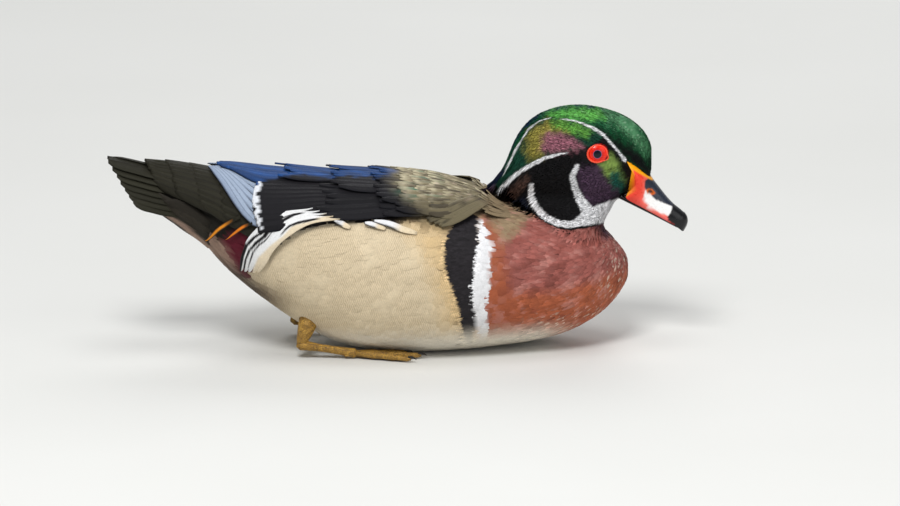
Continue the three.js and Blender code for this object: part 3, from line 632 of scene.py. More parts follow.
def paintBody(points):
    at = nearSide(points)
    at = at + uneven(points, 0.006, 9)[:, None] * 1.2
    x, z = points[:, 0] / mm, points[:, 2] / mm
    tint = flatTint(len(points), tone(226, 212, 188))
    sheen, fine = np.zeros(len(points)), np.zeros(len(points))
    for outline, soft, colour, gloss, bars in bodyPatches:
        share = patch(at, outline, soft)
        tint = blendTint(tint, colour, share)
        sheen += (gloss - sheen) * share
        fine += (bars - fine) * share
    mottle = uneven(points, 0.0026, 31) + 0.6 * uneven(points, 0.0013, 32)
    back = patch(at, mantleEdge, 8)
    tint = blendTint(tint, tone(152, 132, 92), back * ramp(0.1, 1.0, mottle) * 0.8)
    tint = blendTint(tint, tone(38, 32, 26), back * ramp(-0.1, -1.0, mottle) * 0.8)
    front = ramp(474, 486, at[:, 0]) * ramp(96, 84, z)
    streaks = uneven(points * np.array([0.5, 1, 1.6]), 0.003, 41) + 0.5 * uneven(points, 0.0012, 42)
    tint = blendTint(tint, tone(190, 134, 124), front * ramp(0.2, 1.3, streaks) * 0.5)
    tint = blendTint(tint, tone(112, 54, 44), front * ramp(-0.2, -1.3, streaks) * 0.5)
    flecks = uneven(points, 0.0021, 21) * uneven(points, 0.0026, 22)
    fleckPlace = np.maximum(ramp(34, 20, z), ramp(112, 130, x) * ramp(76, 50, z) * 0.8)  # low down and in front
    flecks = ramp(0.26, 0.44, flecks) * ramp(66, 84, x) * fleckPlace
    tint = blendTint(tint, tone(206, 186, 168), flecks)
    for line, colour in ((blackBar, tone(34, 31, 34)), (whiteBar, white)):
        share = stripe(at, *line, soft=2.4)
        tint = blendTint(tint, colour, share)
        sheen *= 1 - share
        fine *= 1 - share
    under = ramp(26, 9, z) * ramp(112, 80, x)
    tint = blendTint(tint, tone(226, 218, 202), under)
    fine *= 1 - under
    behind = ramp(-62, -88, x) * ramp(52, 36, z - 0.35 * np.maximum(-x - 80, 0))
    tint = blendTint(tint, tone(74, 62, 52), behind)
    sheen *= 1 - under
    return tint, sheen, fine


def paint(points):
    local = toHead(points) / mm
    headGap, neckGap, bodyGap = [gapTo(formTrees[key], points) for key in ("head", "neck", "body")]
    near = (np.minimum(headGap, neckGap) < bodyGap + 0.002) & (local[:, 2] > 66)
    onHead = near & (patch(nearSide(points, True), headMarks["edge"], 0.6) > 0.5)
    tint, sheen, fine = paintBody(points)
    if onHead.any():
        tint[onHead], sheen[onHead], fine[onHead] = paintHead(points[onHead])
    return tint, sheen, fine, onHead


def setTint(mesh, tint, sheen, fine):
    colour = mesh.attributes.new("tint", "FLOAT_COLOR", "POINT")
    colour.data.foreach_set("color", np.concatenate([tint, np.ones((len(tint), 1))], 1).astype(np.float32).ravel())
    setValues(mesh, "sheen", sheen)
    setValues(mesh, "fine", fine)


skinMesh = meshFrom("skin", skinForm)
setTint(skinMesh, *paint(skinPoints)[:3])
makePiece("skin", skinMesh, plumage("skinPlumage", False), ("torso", "neck", "head", "crest"))
print("skin painted")


# Bill: along the line of the mouth, across, and up, in its own frame on the head
billLook = {"gape": (34.9, 93.2), "pitch": 29.7, "rings": 96, "around": 64, "rear": -10.6, "long": 53.9}
billStations = [
    # along, culmen, edge of the mouth, half width, roundness
    (-10.6, 21.6, 3.5, 10.4, 5), (-3, 20, 0.4, 10.5, 4.5), (4, 18.4, 0, 10.1, 3.6), (11, 16.4, 0, 9.3, 2.8),
    (20, 13, 0, 8.5, 2.4), (29.5, 9.6, 0, 8.0, 2.3), (36, 8.4, -0.2, 7.1, 2.3), (40, 7.2, -0.9, 5.5, 2.2),
    (42.4, 4.8, -1.6, 3.4, 2.1), (43.3, 2.2, -1.6, 1.2, 2),
]
nostrilLook = {"along": 13.2, "up": 10.7, "long": 2.3, "high": 1.25, "deep": 0.9}
lowerBillStations = [(-1, -0.4, -3.6, 8.2, 2.4), (12, -0.4, -2.9, 7.3, 2.4), (26, -0.4, -2.2, 6.5, 2.4),
                     (35, -0.6, -1.9, 5.4, 2.2), (38.6, -1.2, -1.8, 3.6, 2)]
pitch = math.radians(billLook["pitch"])
gape = Matrix.Translation((billLook["gape"][0] * mm, 0, billLook["gape"][1] * mm))
billMatrix = headMatrix @ gape @ Matrix.Rotation(pitch, 4, "Y")


# Closed loft: a tube of rings whose places a function gives from its turn and its share of the length
def loftOf(rings, around, place):
    bm = bmesh.new()
    bmesh.ops.create_cone(bm, cap_ends=True, segments=around, radius1=1, radius2=1, depth=1)
    upright = [e for e in bm.edges if abs(e.verts[0].co.z - e.verts[1].co.z) > 0.5]
    bmesh.ops.subdivide_edges(bm, edges=upright, cuts=rings - 2, use_grid_fill=True)
    co = placesOf(bm)
    moveTo(bm, place(np.arctan2(co[:, 1], co[:, 0]), co[:, 2] + 0.5))
    bmesh.ops.recalc_face_normals(bm, faces=bm.faces)
    return bm


def signed(value, exponent):
    return np.sign(value) * np.abs(value) ** exponent


# 1 on the nostril's rim
def fromNostril(along, up):
    look = nostrilLook
    return np.hypot((along - look["along"]) / look["long"], (up - look["up"]) / look["high"])


def billPlace(turn, share):
    s = billLook["rear"] + billLook["long"] * np.sin(share * math.pi / 2) ** 0.9
    _, top, bottom, half, roundness = rowAt(billStations, s).T
    c, n = np.cos(turn), np.sin(turn)
    y = half * signed(c, 2 / (roundness + 0.6))
    up = bottom + (top - bottom) * np.abs(n) ** (2 / roundness)
    under = bottom + 0.5 * np.abs(n) ** 0.7 - 0.25
    h = np.where(n >= 0, up, under)
    spread = fromNostril(s, h)
    hollow = np.exp(-spread**2 * 1.1) * (n > 0)
    y *= 1 + 0.3 * ramp(7, -9, s) * ramp(4, 19, h)
    y -= np.sign(y) * hollow * nostrilLook["deep"]
    rimRaise = np.exp(-((spread - 1.35) / 0.4) ** 2) * (n > 0) * 0.16
    y += np.sign(y) * rimRaise
    nail = ramp(37.4, 38.4, s) * (n > 0.1) * 0.22
    saddle = -0.35 * np.exp(-(((s - 24) / 7) ** 2)) * np.exp(-((y / 4.0) ** 2)) * (n > 0)
    rear = np.interp(h, (0, 2.5, 5, 8.5, 12, 15.5, 21.4), (-3, 0.6, 2.8, 3.6, 2.4, -1, -10.6))
    s = s + (rear - billLook["rear"]) * np.clip(1 - (s - billLook["rear"]) / 23, 0, 1)
    return np.stack([s, y, h + nail + saddle], 1) * mm


def lowerBillPlace(turn, share):
    s = -1 + 39.6 * share
    _, top, bottom, half, _ = rowAt(lowerBillStations, s).T
    c, n = np.cos(turn), np.sin(turn)
    return np.stack([s, half * signed(c, 0.8), np.where(n >= 0, top + 0.15 * n, top + (top - bottom) * n)], 1) * mm


billMarks = {
    "white": [(645.5, 189.5), (649, 193.5), (655, 198.5), (664, 202.5), (673.4, 206), (673, 212), (668.5, 216),
              (657, 211.5), (648.5, 207), (643.5, 198)],
    "saddle": [(645, 180.5), (652, 176), (662, 186), (676, 203), (674, 207), (664, 203.2), (655, 199.2), (649, 194),
               (644.6, 187.5)],
    "nail": [(673.4, 203), (682, 204), (692, 216), (690, 234), (680, 232), (671, 224), (667, 217.5), (670.5, 213),
             (672, 208)],
    "yellowTop": ([(622, 156), (626, 160.5), (638, 169.5), (652, 178.5)], [2.4, 3.2, 2.6, 1.6]),
    "yellowRear": ([(625, 160), (631.5, 172), (632.5, 182), (629, 191), (623, 198)], [2.4, 2.2, 2.2, 1.9, 1.2]),
    "pinkEdge": ([(622, 200), (636, 209), (652, 216), (667, 220)], [2.0, 1.8, 1.6, 1.2]),
}


def paintBill(points):
    at = nearSide(points, True)
    tint = flatTint(len(points), tone(232, 58, 36))
    tint = blendTint(tint, tone(240, 104, 96), ramp(190, 208, at[:, 1]) * ramp(628, 642, at[:, 0]) * 0.7)
    tint = blendTint(tint, tone(238, 120, 104), ramp(640, 647, at[:, 0] + uneven(points, 0.0015, 12)) * 0.6)
    tint = blendTint(tint, tone(238, 108, 112), stripe(at, *billMarks["pinkEdge"], soft=2.2))
    tint = blendTint(tint, tone(246, 160, 16), stripe(at, *billMarks["yellowRear"], soft=1.4))
    tint = blendTint(tint, tone(240, 238, 236), patch(at, billMarks["white"], 1.5))
    tint = blendTint(tint, tone(36, 42, 56), patch(at, billMarks["saddle"], 1.4))
    tint = blendTint(tint, tone(248, 166, 14), stripe(at, *billMarks["yellowTop"], soft=1.4))
    tint = blendTint(tint, tone(7, 7, 10), patch(at, billMarks["nail"], 1.0))
    turned = np.array(billMatrix.inverted().to_3x3())
    local = (turned @ (points - np.array(billMatrix.translation)).T).T / mm
    spread = fromNostril(local[:, 0], local[:, 2])
    tint = blendTint(tint, tone(202, 92, 20), ramp(1.5, 1.1, spread))
    # dark inside the nostril: painted shade in its hollow
    tint = blendTint(tint, tone(70, 26, 8), ramp(0.85, 0.5, spread))
    tint = blendTint(tint, tone(150, 34, 26), ramp(0.5, -0.1, local[:, 2]) * (local[:, 0] < 36) * 0.6)
    return tint


def darkHorn(points):
    return flatTint(len(points), tone(14, 12, 14))


def hornFinish():
    finish = Finish("billHorn", Specular_IOR_Level=0.32, Coat_Roughness=0.12, Coat_Weight=0.12)
    tint = finish.attribute("tint")
    grain = finish.noise(700.0, 4.0)
    pits = finish.noise(2600.0, 2.0)
    shade = grain * 0.3 + 0.85
    colour = finish.shaded(tint, shade)
    return finish.link(Base_Color=colour, Roughness=0.3 + (grain - 0.5) * 0.3,
                       Normal=finish.raised(grain * 0.6 + pits * 0.4, 0.00018, 0.5))


def tintedPiece(name, bm, material, painter, replaced):
    mesh = meshFrom(name, bm)
    points = np.array([v.co for v in mesh.vertices])
    setTint(mesh, painter(points), np.zeros(len(points)), np.zeros(len(points)))
    makePiece(name, mesh, material, replaced)


def makeBill():
    horn = hornFinish()
    upper = loftOf(billLook["rings"], billLook["around"], billPlace)
    bmesh.ops.transform(upper, matrix=billMatrix, verts=upper.verts)
    upper.normal_update()
    tree = treeOf(upper)
    tintedPiece("bill_upper_skin", upper, horn, paintBill, ("bill_upper",))
    lower = loftOf(40, 40, lowerBillPlace)
    bmesh.ops.transform(lower, matrix=billMatrix, verts=lower.verts)
    tintedPiece("bill_lower_skin", lower, horn, darkHorn, ("bill_lower",))
    return tree


billTree = makeBill()
print("bill ready")


# Eyes and lids, in the head's frame
eyeLook = {
    "x": 19.7, "z": 121.5, "across": 7.4, "out": 5.3, "sunk": 3.6, "pupil": 2.35, "forward": 0.1,
    "rim": (6.3, 5.4),  # where the side of the head is felt round the eye
    "bare": (7.0, 6.1),  # no tuft grows nearer
}
lidLook = {"long": 5.8, "high": 5.1, "wide": 0.62, "deep": 0.8, "above": 0.45, "corner": 1.5, "cornerTurn": -30}


# Side of the head at places of its own frame
def headSide(x, z):
    inward = headMatrix.to_3x3() @ Vector((0, -1, 0))
    hits = [formTrees["head"].ray_cast(headMatrix @ Vector((a * mm, 0.05, c * mm)), inward)[0] for a, c in zip(x, z)]
    return np.array([toHead(np.array(hit))[1] / mm for hit in hits])


rimLong, rimHigh = eyeLook["rim"]
rimX = eyeLook["x"] + np.array([rimLong, -rimLong, 0, 0])
rimZ = eyeLook["z"] + np.array([0, 0, rimHigh, -rimHigh])
rimSide = headSide(rimX, rimZ)
eyePlane = {
    "side": rimSide.mean(),
    "alongX": (rimSide[0] - rimSide[1]) / (2 * rimLong),
    "alongZ": (rimSide[2] - rimSide[3]) / (2 * rimHigh),
}


def makeEyes():
    finish = Finish("irisGlass", Specular_IOR_Level=0.2, Coat_Weight=0.22, Coat_Roughness=0.03, Roughness=0.25)
    radial = finish.attribute("radial", "Fac")
    turn = finish.attribute("turn", "Vector")
    streaks = finish.noise(5.0, 3.0, turn)
    iris = finish.mix(finish.span(radial, 3.0, 5.2), tone(188, 14, 8), tone(236, 30, 10))
    iris = finish.mix(finish.span(streaks, 0.35, 0.75) * 0.5, iris, tone(244, 60, 20))
    iris = finish.mix(finish.span(radial, 5.4, 6.0), iris, tone(120, 12, 8))
    ring = finish.mix(finish.span(radial, eyeLook["pupil"] + 0.12, eyeLook["pupil"] + 0.36), tone(96, 88, 130), iris)
    colour = finish.mix(finish.span(radial, eyeLook["pupil"] - 0.12, eyeLook["pupil"] + 0.12), tone(6, 8, 22), ring)
    glass = finish.link(Base_Color=colour)
    for name, side in (("left", 1), ("right", -1)):
        bm = bmesh.new()
        bmesh.ops.create_uvsphere(bm, u_segments=64, v_segments=48, radius=1)
        wide, deep = eyeLook["across"] * mm, eyeLook["out"] * mm
        bmesh.ops.scale(bm, vec=Vector((wide, wide, deep)), verts=bm.verts)
        bmesh.ops.transform(bm, matrix=Matrix.Rotation(math.radians(90), 4, "X"), verts=bm.verts)
        facing = Vector((-eyePlane["alongX"], 1, -eyePlane["alongZ"])).normalized()
        facing.y *= side
        bmesh.ops.rotate(bm, matrix=Vector((0, side, 0)).rotation_difference(facing).to_matrix(), verts=bm.verts)
        local = placesOf(bm) / mm
        depth = side * (eyePlane["side"] + lidLook["above"] - eyeLook["sunk"])
        bmesh.ops.translate(bm, vec=Vector((eyeLook["x"] * mm, depth * mm, eyeLook["z"] * mm)), verts=bm.verts)
        bmesh.ops.transform(bm, matrix=headMatrix, verts=bm.verts)
        mesh = meshFrom(f"eyeball_{name}", bm)
        across, up = local[:, 0] - eyeLook["forward"], local[:, 2]
        outer = np.where(local[:, 1] * side > 0, np.hypot(across, up), 9)
        setValues(mesh, "radial", outer)
        angle = np.arctan2(up, across)
        spin = np.stack([np.cos(angle) * 2, np.sin(angle) * 2, outer * 0.08], 1)
        mesh.attributes.new("turn", "FLOAT_VECTOR", "POINT").data.foreach_set("vector", spin.astype(np.float32).ravel())
        makePiece(f"eyeball_{name}", mesh, glass, (f"eye_{name}",))


def makeLids():
    finish = Finish("lidSkin", Specular_IOR_Level=0.5, Coat_Weight=0.25, Coat_Roughness=0.25)
    grain = finish.noise(1800.0, 3.0)
    colour = finish.mix(finish.span(grain, 0.3, 0.75), tone(224, 40, 22), tone(246, 92, 44))
    colour = finish.mix(finish.attribute("dark", "Fac"), colour, tone(60, 12, 8))
    lidSkin = finish.link(Base_Color=colour, Roughness=grain * 0.3 + 0.3, Normal=finish.raised(grain, 0.00012, 0.6))
    for name, side in (("left", 1), ("right", -1)):
        bm = bmesh.new()
        bmesh.ops.create_grid(bm, x_segments=96, y_segments=14, size=1)
        co = placesOf(bm)
        around, tube = (co[:, 0] + 1) * math.pi, (co[:, 1] + 1) * math.pi
        corner = np.maximum(0, np.cos(around - math.radians(lidLook["cornerTurn"]))) ** 22
        out = lidLook["corner"] * corner + lidLook["wide"] * np.cos(tube) * (1 - 0.3 * corner)
        out += 0.1 * np.sin(around * 26) * np.maximum(np.cos(tube), 0)
        x = eyeLook["x"] + (lidLook["long"] + out) * np.cos(around)
        z = eyeLook["z"] + (lidLook["high"] + out) * np.sin(around)
        plane = eyePlane["side"] + eyePlane["alongX"] * (x - eyeLook["x"]) + eyePlane["alongZ"] * (z - eyeLook["z"])
        y = side * (plane + lidLook["above"] - 0.3 * corner + lidLook["deep"] * np.sin(tube))
        moveTo(bm, np.stack([x, y, z], 1) * mm)
        bmesh.ops.remove_doubles(bm, verts=bm.verts, dist=1e-6)
        bmesh.ops.recalc_face_normals(bm, faces=bm.faces)
        local = placesOf(bm) / mm
        bmesh.ops.transform(bm, matrix=headMatrix, verts=bm.verts)
        mesh = meshFrom(f"lid_{name}", bm)
        spotAt = (eyeLook["x"] + lidLook["long"] * 0.86, eyeLook["z"] - lidLook["high"] * 0.62)
        setValues(mesh, "dark", ramp(1.0, 0.4, np.hypot(local[:, 0] - spotAt[0], local[:, 2] - spotAt[1])))
        makePiece(f"lid_{name}", mesh, lidSkin, (f"eyelid_{name}",))


makeEyes()
makeLids()
print("eyes ready")


# Coat: closed tufts on seeded roots, lying along the plumage
coatLook = {
    "calm": 0.8,  # share of the skin's own normal in the shading of a tuft
    "patch": 0.003,  # side of a tuft's patch on the sheet
    "crowd": 3.2, "spacing": 0.86, "seed": 311,  # roots tried for each that is kept, and the share of the gap they keep
    # region: length, width, lift at the tip, gap between roots, in millimetres
    "face": (2.6, 0.75, 0.45, 0.62), "crown": (4.6, 0.8, 0.5, 0.84), "cheek": (3.8, 0.8, 0.5, 0.78),
    "crest": (11, 1.1, 0.8, 1.2), "neck": (6.5, 1.7, 0.7, 1.25), "breast": (8.5, 2.9, 0.5, 1.6),
    "flank": (13, 8.5, 0.3, 3.2), "mantle": (9, 3.6, 0.7, 1.8), "belly": (10, 6, 0.5, 3.0),
    "bars": (6, 1.8, 0.5, 1.15), "rump": (14, 6, 0.8, 3.2),
}


def coatSizes(points, onHead):
    at, local = nearSide(points), toHead(points) / mm
    x, z = points[:, 0] / mm, points[:, 2] / mm
    size = np.tile(np.array(coatLook["flank"], float), (len(points), 1))

    def lay(key, share):
        size[:] += (np.array(coatLook[key]) - size) * share[:, None]
    lay("belly", ramp(24, 10, z))
    lay("rump", ramp(-66, -86, x))
    lay("mantle", ramp(34, 52, x) * ramp(70, 82, z))
    lay("breast", ramp(62, 76, x))
    lay("bars", np.maximum(stripe(at, *blackBar, soft=6), stripe(at, *whiteBar, soft=8)))
    lay("neck", ramp(0.004, 0.0, gapTo(formTrees["neck"], points)) * (local[:, 2] > 60))
    lay("cheek", onHead.astype(float))
    lay("crown", onHead * ramp(118, 128, local[:, 2]))
    lay("crest", onHead * ramp(-14, -30, local[:, 0] + 0.25 * (local[:, 2] - 110)))
    lay("face", onHead * ramp(24, 36, local[:, 0]))
    return size


def coatLie(points, normals, onHead):
    local = toHead(points) / mm
    x = points[:, 0] / mm
    body = np.stack([-np.ones(len(x)), np.zeros(len(x)), -0.75 * ramp(92, 128, x) - 0.12 + 0.5 * ramp(-50, -95, x)], 1)
    fall = -1.3 * ramp(4, -30, local[:, 0]) + 1.2 * ramp(38, 50, local[:, 0]) * ramp(104, 112, local[:, 2])
    fall -= 0.25 * ramp(110, 96, local[:, 2]) * ramp(-20, 5, local[:, 0])
    head = fromHead(np.stack([-np.ones(len(x)), np.zeros(len(x)), fall], 1)) - headShift
    neckShare = ramp(0.005, 0.001, gapTo(formTrees["neck"], points)) * (local[:, 2] > 60)
    body += (np.array([-0.7, 0, -0.8]) - body) * (neckShare * ~onHead)[:, None]
    way = np.where(onHead[:, None], head, body)
    way = way - normals * np.sum(way * normals, 1)[:, None]
    return unit(way)


def scatterRoots():
    draw = np.random.default_rng(coatLook["seed"])
    skinMesh.calc_loop_triangles()
    corners = np.zeros(len(skinMesh.loop_triangles) * 3, np.int32)
    skinMesh.loop_triangles.foreach_get("vertices", corners)
    corners = corners.reshape(-1, 3)
    centres = skinPoints[corners].mean(1)
    first, second, third = [skinPoints[corners[:, k]] for k in range(3)]
    areas = 0.5 * np.linalg.norm(np.cross(second - first, third - first), axis=1)
    onHead = paint(centres)[3]
    gaps = coatSizes(centres, onHead)[:, 3] * mm
    expected = areas / gaps**2 * coatLook["crowd"]
    count = int(expected.sum())
    picks = draw.choice(len(corners), count, p=expected / expected.sum())
    a, b = draw.random((2, count))
    flip = a + b > 1
    a[flip], b[flip] = 1 - a[flip], 1 - b[flip]
    weights = np.stack([1 - a - b, a, b], 1)[:, :, None]
    points = (skinPoints[corners[picks]] * weights).sum(1)
    normals = unit((skinNormals[corners[picks]] * weights).sum(1))
    gap = gaps[picks] * coatLook["spacing"]
    tree = KDTree(count)
    for k, point in enumerate(points):
        tree.insert(point, k)
    tree.balance()
    free, kept = np.ones(count, bool), []
    for k in range(count):
        if free[k]:
            kept.append(k)
            for _, other, _ in tree.find_range(points[k], gap[k]):
                free[other] = False
    return points[kept], normals[kept], onHead[picks][kept]


def placesAndFaces(bm):
    bmesh.ops.recalc_face_normals(bm, faces=bm.faces)
    bmesh.ops.triangulate(bm, faces=bm.faces)
    bm.verts.index_update()
    co = placesOf(bm)
    faces = np.array([[v.index for v in f.verts] for f in bm.faces])
    bm.free()
    return co, faces


# A tuft: rounded above, flat below, closed all round; across from -1 to 1 and along from 0 to 1
def tuftMaster(across, rows, outline):
    bm = bmesh.new()
    bmesh.ops.create_grid(bm, x_segments=across, y_segments=rows, size=1)
    for vert in bm.verts:
        along = (vert.co.y + 1) / 2
        half = np.interp(along, np.linspace(0, 1, len(outline)), outline)
        vert.co = Vector((vert.co.x * half, along + 0.04 * (1 - vert.co.x**2) * along, (1 - vert.co.x**2)))
    rim = [e for e in bm.edges if e.is_boundary]
    bmesh.ops.holes_fill(bm, edges=rim, sides=0)
    return placesAndFaces(bm)


broadTuft = tuftMaster(2, 4, [0.35, 0.85, 1.0, 0.86, 0.34])
fineTuft = tuftMaster(2, 3, [0.5, 1.0, 0.75, 0.12])


def setSheets(mesh, corners, bakePlaces, barbPlaces):
    for key, values in (("OFBake", bakePlaces), ("barb", barbPlaces)):
        mesh.uv_layers.new(name=key).data.foreach_set("uv", values[corners].astype(np.float32).ravel())
    mesh.uv_layers.active = mesh.uv_layers["OFBake"]


# Joined mesh of many tufts, each bent to end at its height above the skin under its tip
def tuftMesh(name, master, roots, normals, ways, sizes, unwrap, seed):
    draw = np.random.default_rng(seed)
    shape, faces = master
    count, per = len(roots), len(shape)
    lengths = sizes[:, 0] * mm * draw.uniform(0.82, 1.16, count)
    widths = sizes[:, 1] * mm * draw.uniform(0.85, 1.12, count)
    lifts = sizes[:, 2] * mm * draw.uniform(0.75, 1.2, count)
    sides = np.cross(ways, normals)
    ways = unit(ways + sides * draw.normal(0, 0.09, count)[:, None])
    tips, tipNormals = roots + ways * lengths[:, None], normals.copy()
    for k in range(count):
        near, normal, _, _ = skinTree.find_nearest(Vector(tips[k]))
        tips[k], tipNormals[k] = near, normal
    tipNormals = unit(tipNormals + normals)
    tips = tips + tipNormals * lifts[:, None]
    starts = roots - normals * (0.35 * mm)
    tipWays = unit(tips - starts - tipNormals * np.sum((tips - starts) * tipNormals, 1)[:, None])
    u, v, h = shape.T
    reach = np.linalg.norm(tips - starts, axis=1)[:, None, None]
    s = v[None, :, None]
    leave = (ways[:, None] + normals[:, None] * 0.35) * reach
    line = (starts[:, None] * (2 * s**3 - 3 * s**2 + 1) + tips[:, None] * (3 * s**2 - 2 * s**3)
            + leave * (s**3 - 2 * s**2 + s) + tipWays[:, None] * reach * (s**3 - s**2))
    side = unit(np.cross(ways, normals))
    up = unit(normals[:, None] * (1 - s) + tipNormals[:, None] * s)
    crown = (0.012 * widths[:, None, None] + 0.12 * mm) * h[None, :, None]
    points = line + side[:, None] * (u[None, :, None] * widths[:, None, None] / 2) + up * crown
    points = points.reshape(-1, 3)
    points[:, 2] = np.maximum(points[:, 2], 0.1 * mm)
    mesh = bpy.data.meshes.new(name)
    mesh.vertices.add(count * per)
    mesh.vertices.foreach_set("co", points.astype(np.float32).ravel())
    corners = (faces[None] + (np.arange(count) * per)[:, None, None]).reshape(-1)
    total = len(corners) // 3
    mesh.loops.add(len(corners))
    mesh.loops.foreach_set("vertex_index", corners.astype(np.int32))
    mesh.polygons.add(total)
    mesh.polygons.foreach_set("loop_start", (np.arange(total) * 3).astype(np.int32))
    mesh.update(calc_edges=True)
    mesh.shade_smooth()
    bent = np.zeros(count * per * 3, np.float32)
    mesh.vertex_normals.foreach_get("vector", bent)
    calm = unit(up.reshape(-1, 3) * coatLook["calm"] + bent.reshape(-1, 3) * (1 - coatLook["calm"]))
    mesh.normals_split_custom_set_from_vertices(calm.tolist())
    across, along = np.tile(u, count), np.tile(v, count)
    barb = np.stack([across * np.repeat(widths, per) / mm * 0.05, along * np.repeat(lengths, per) / mm * 0.1], 1)
    patchSize = coatLook["patch"]
    patchAt = np.repeat(unwrap(roots), per, 0) + np.stack([across * (patchSize / 2), (along - 0.5) * patchSize], 1)
    setSheets(mesh, corners, patchAt, barb)
    return mesh, points, along, np.repeat(draw.normal(0, 1, count), per)


# The skin's shape laid flat: along it, and round a level line inside it
def layFlat(points, rear, long, level):
    x, y, z = points.T
    turn = np.arctan2(y, z - level) / (2 * math.pi) + 0.5
    return np.stack([0.03 + 0.94 * (x + rear) / long, 0.03 + 0.94 * turn], 1)


def bodyUnwrap(points):
    return layFlat(points, 0.155, 0.31, 0.058)


def headUnwrap(points):
    return layFlat(toHead(points), 0.055, 0.115, 0.112)


# Roots under the folded wings or where other pieces stand are left bare
hiddenRoots = [(216, 168), (262, 173), (300, 172), (380, 172), (410, 182), (404, 204), (380, 212), (330, 213),
               (296, 208), (268, 224), (258, 226), (238, 204)]
coatFinish = plumage("coatPlumage")


def makeCoat():
    roots, normals, onHead = scatterRoots()
    sizes = coatSizes(roots, onHead)
    ways = coatLie(roots, normals, onHead)
    local = toHead(roots) / mm
    covered = (patch(nearSide(roots), hiddenRoots, 0.1) > 0.5) & ~onHead & (roots[:, 2] > 0.07)
    ends = toHead(roots + ways * sizes[:, :1] * mm * 0.9) / mm
    eyeRoom = np.zeros(len(roots), bool)
    bareLong, bareHigh = eyeLook["bare"]
    for spots in (local, ends):
        eyeRoom |= np.hypot((spots[:, 0] - eyeLook["x"]) / bareLong, (spots[:, 2] - eyeLook["z"]) / bareHigh) < 1
    eyeRoom &= onHead & (np.abs(local[:, 1]) > 6)
    billRoom = np.zeros(len(roots), bool)
    for k in np.flatnonzero(onHead & (local[:, 0] > 20)):
        near, normal, _, away = billTree.find_nearest(Vector(roots[k]))
        billRoom[k] = away < 0.0005 or (Vector(roots[k]) - near) @ normal < 0
    keep = ~(covered | billRoom | eyeRoom)
    x = roots[:, 0] / mm
    regions = {
        "coat_head_left": (onHead & (local[:, 1] >= 0), fineTuft, headUnwrap, "feathers_head"),
        "coat_head_right": (onHead & (local[:, 1] < 0), fineTuft, headUnwrap, "feathers_head"),
        "coat_breast": (~onHead & (x >= 62), broadTuft, bodyUnwrap, "feathers_body"),
        "coat_sides": (~onHead & (x < 62) & (x > -60), broadTuft, bodyUnwrap, "feathers_body"),
        "coat_rump": (~onHead & (x <= -60), broadTuft, bodyUnwrap, "feathers_body"),
    }
    for k, (name, (chosen, master, unwrap, slot)) in enumerate(regions.items()):
        chosen = chosen & keep
        root, way, size = roots[chosen], ways[chosen], sizes[chosen]
        mesh, points, along, luck = tuftMesh(name, master, root, normals[chosen], way, size, unwrap, 50 + k)
        per = len(master[0])
        middles = np.repeat(root + way * size[:, :1] * mm * 0.6, per, 0)
        crisp = 0.6 if master is fineTuft else 0.4
        tint, sheen, fine, _ = paint(points * crisp + middles * (1 - crisp))
        fineness = np.repeat(ramp(5, 1, size[:, 1]), per)
        # each tuft's tint varies at random, and is darker toward its root and lighter toward its tip: painted shade
        # where its neighbours cover it and painted light where it lies open
        tuftToneAndShade = np.maximum(1 + luck * (0.02 + 0.2 * fineness) + (along - 0.6) * (0.08 + 0.4 * fineness), 0.2)
        setTint(mesh, tint * tuftToneAndShade[:, None], sheen, fine)
        makePiece(name, mesh, coatFinish, ())
        print(name, int(chosen.sum()), "tufts", len(mesh.polygons), "triangles")


makeCoat()


# Long vanes: one closed strip, bent along a path over a form of stations
vaneLook = {"thick": 0.42, "ridge": 0.22, "camber": 0.07, "step": 0.02}
bodyHeart = np.array([0, 0, 0.06])  # vanes turn their upper side away from here


def onQuill(u):
    return np.abs(u) < 0.05


def vaneMaster(across, rows):
    bm = bmesh.new()
    bmesh.ops.create_grid(bm, x_segments=across, y_segments=rows, size=1)
    bmesh.ops.solidify(bm, geom=bm.faces[:], thickness=1.0)
    co, faces = placesAndFaces(bm)
    co[:, 2] = -(co[:, 2] < co[:, 2].mean()).astype(float) if co[:, 2].max() > 0.5 else -(co[:, 2] < -0.5).astype(float)
    co[:, 0] = np.sign(co[:, 0]) * np.abs(co[:, 0]) ** 1.5
    co[:, 1] = 1 - (0.5 - co[:, 1] / 2) ** 1.5  # rows lie closer toward the tip
    return co, faces


masters = {"long": vaneMaster(8, 16), "short": vaneMaster(6, 9), "close": vaneMaster(12, 34)}


# Where places of the picture lie on the near side of a form, as x and degrees
def onForm(table, places):
    x = np.arange(table[0][0], table[-1][0], 0.75)
    degrees = np.arange(-128.0, -1.5, 0.75)
    gx, gd = np.meshgrid(x, degrees, indexing="ij")
    at = nearSide(formPoint(table, gx, gd, 2.5).reshape(-1, 3))
    nearest = [int(np.argmin(np.sum((at - np.array(place)) ** 2, 1))) for place in places]
    return [(gx.ravel()[k], -gd.ravel()[k]) for k in nearest]


def smoothPath(points, s):
    points = np.array(points, float)
    knots = np.concatenate([[0], np.cumsum(np.linalg.norm(np.diff(points, axis=0), axis=1))])
    table = [(knot / knots[-1], *point) for knot, point in zip(knots, points)]
    return rowAt(table, s)[:, 1:]


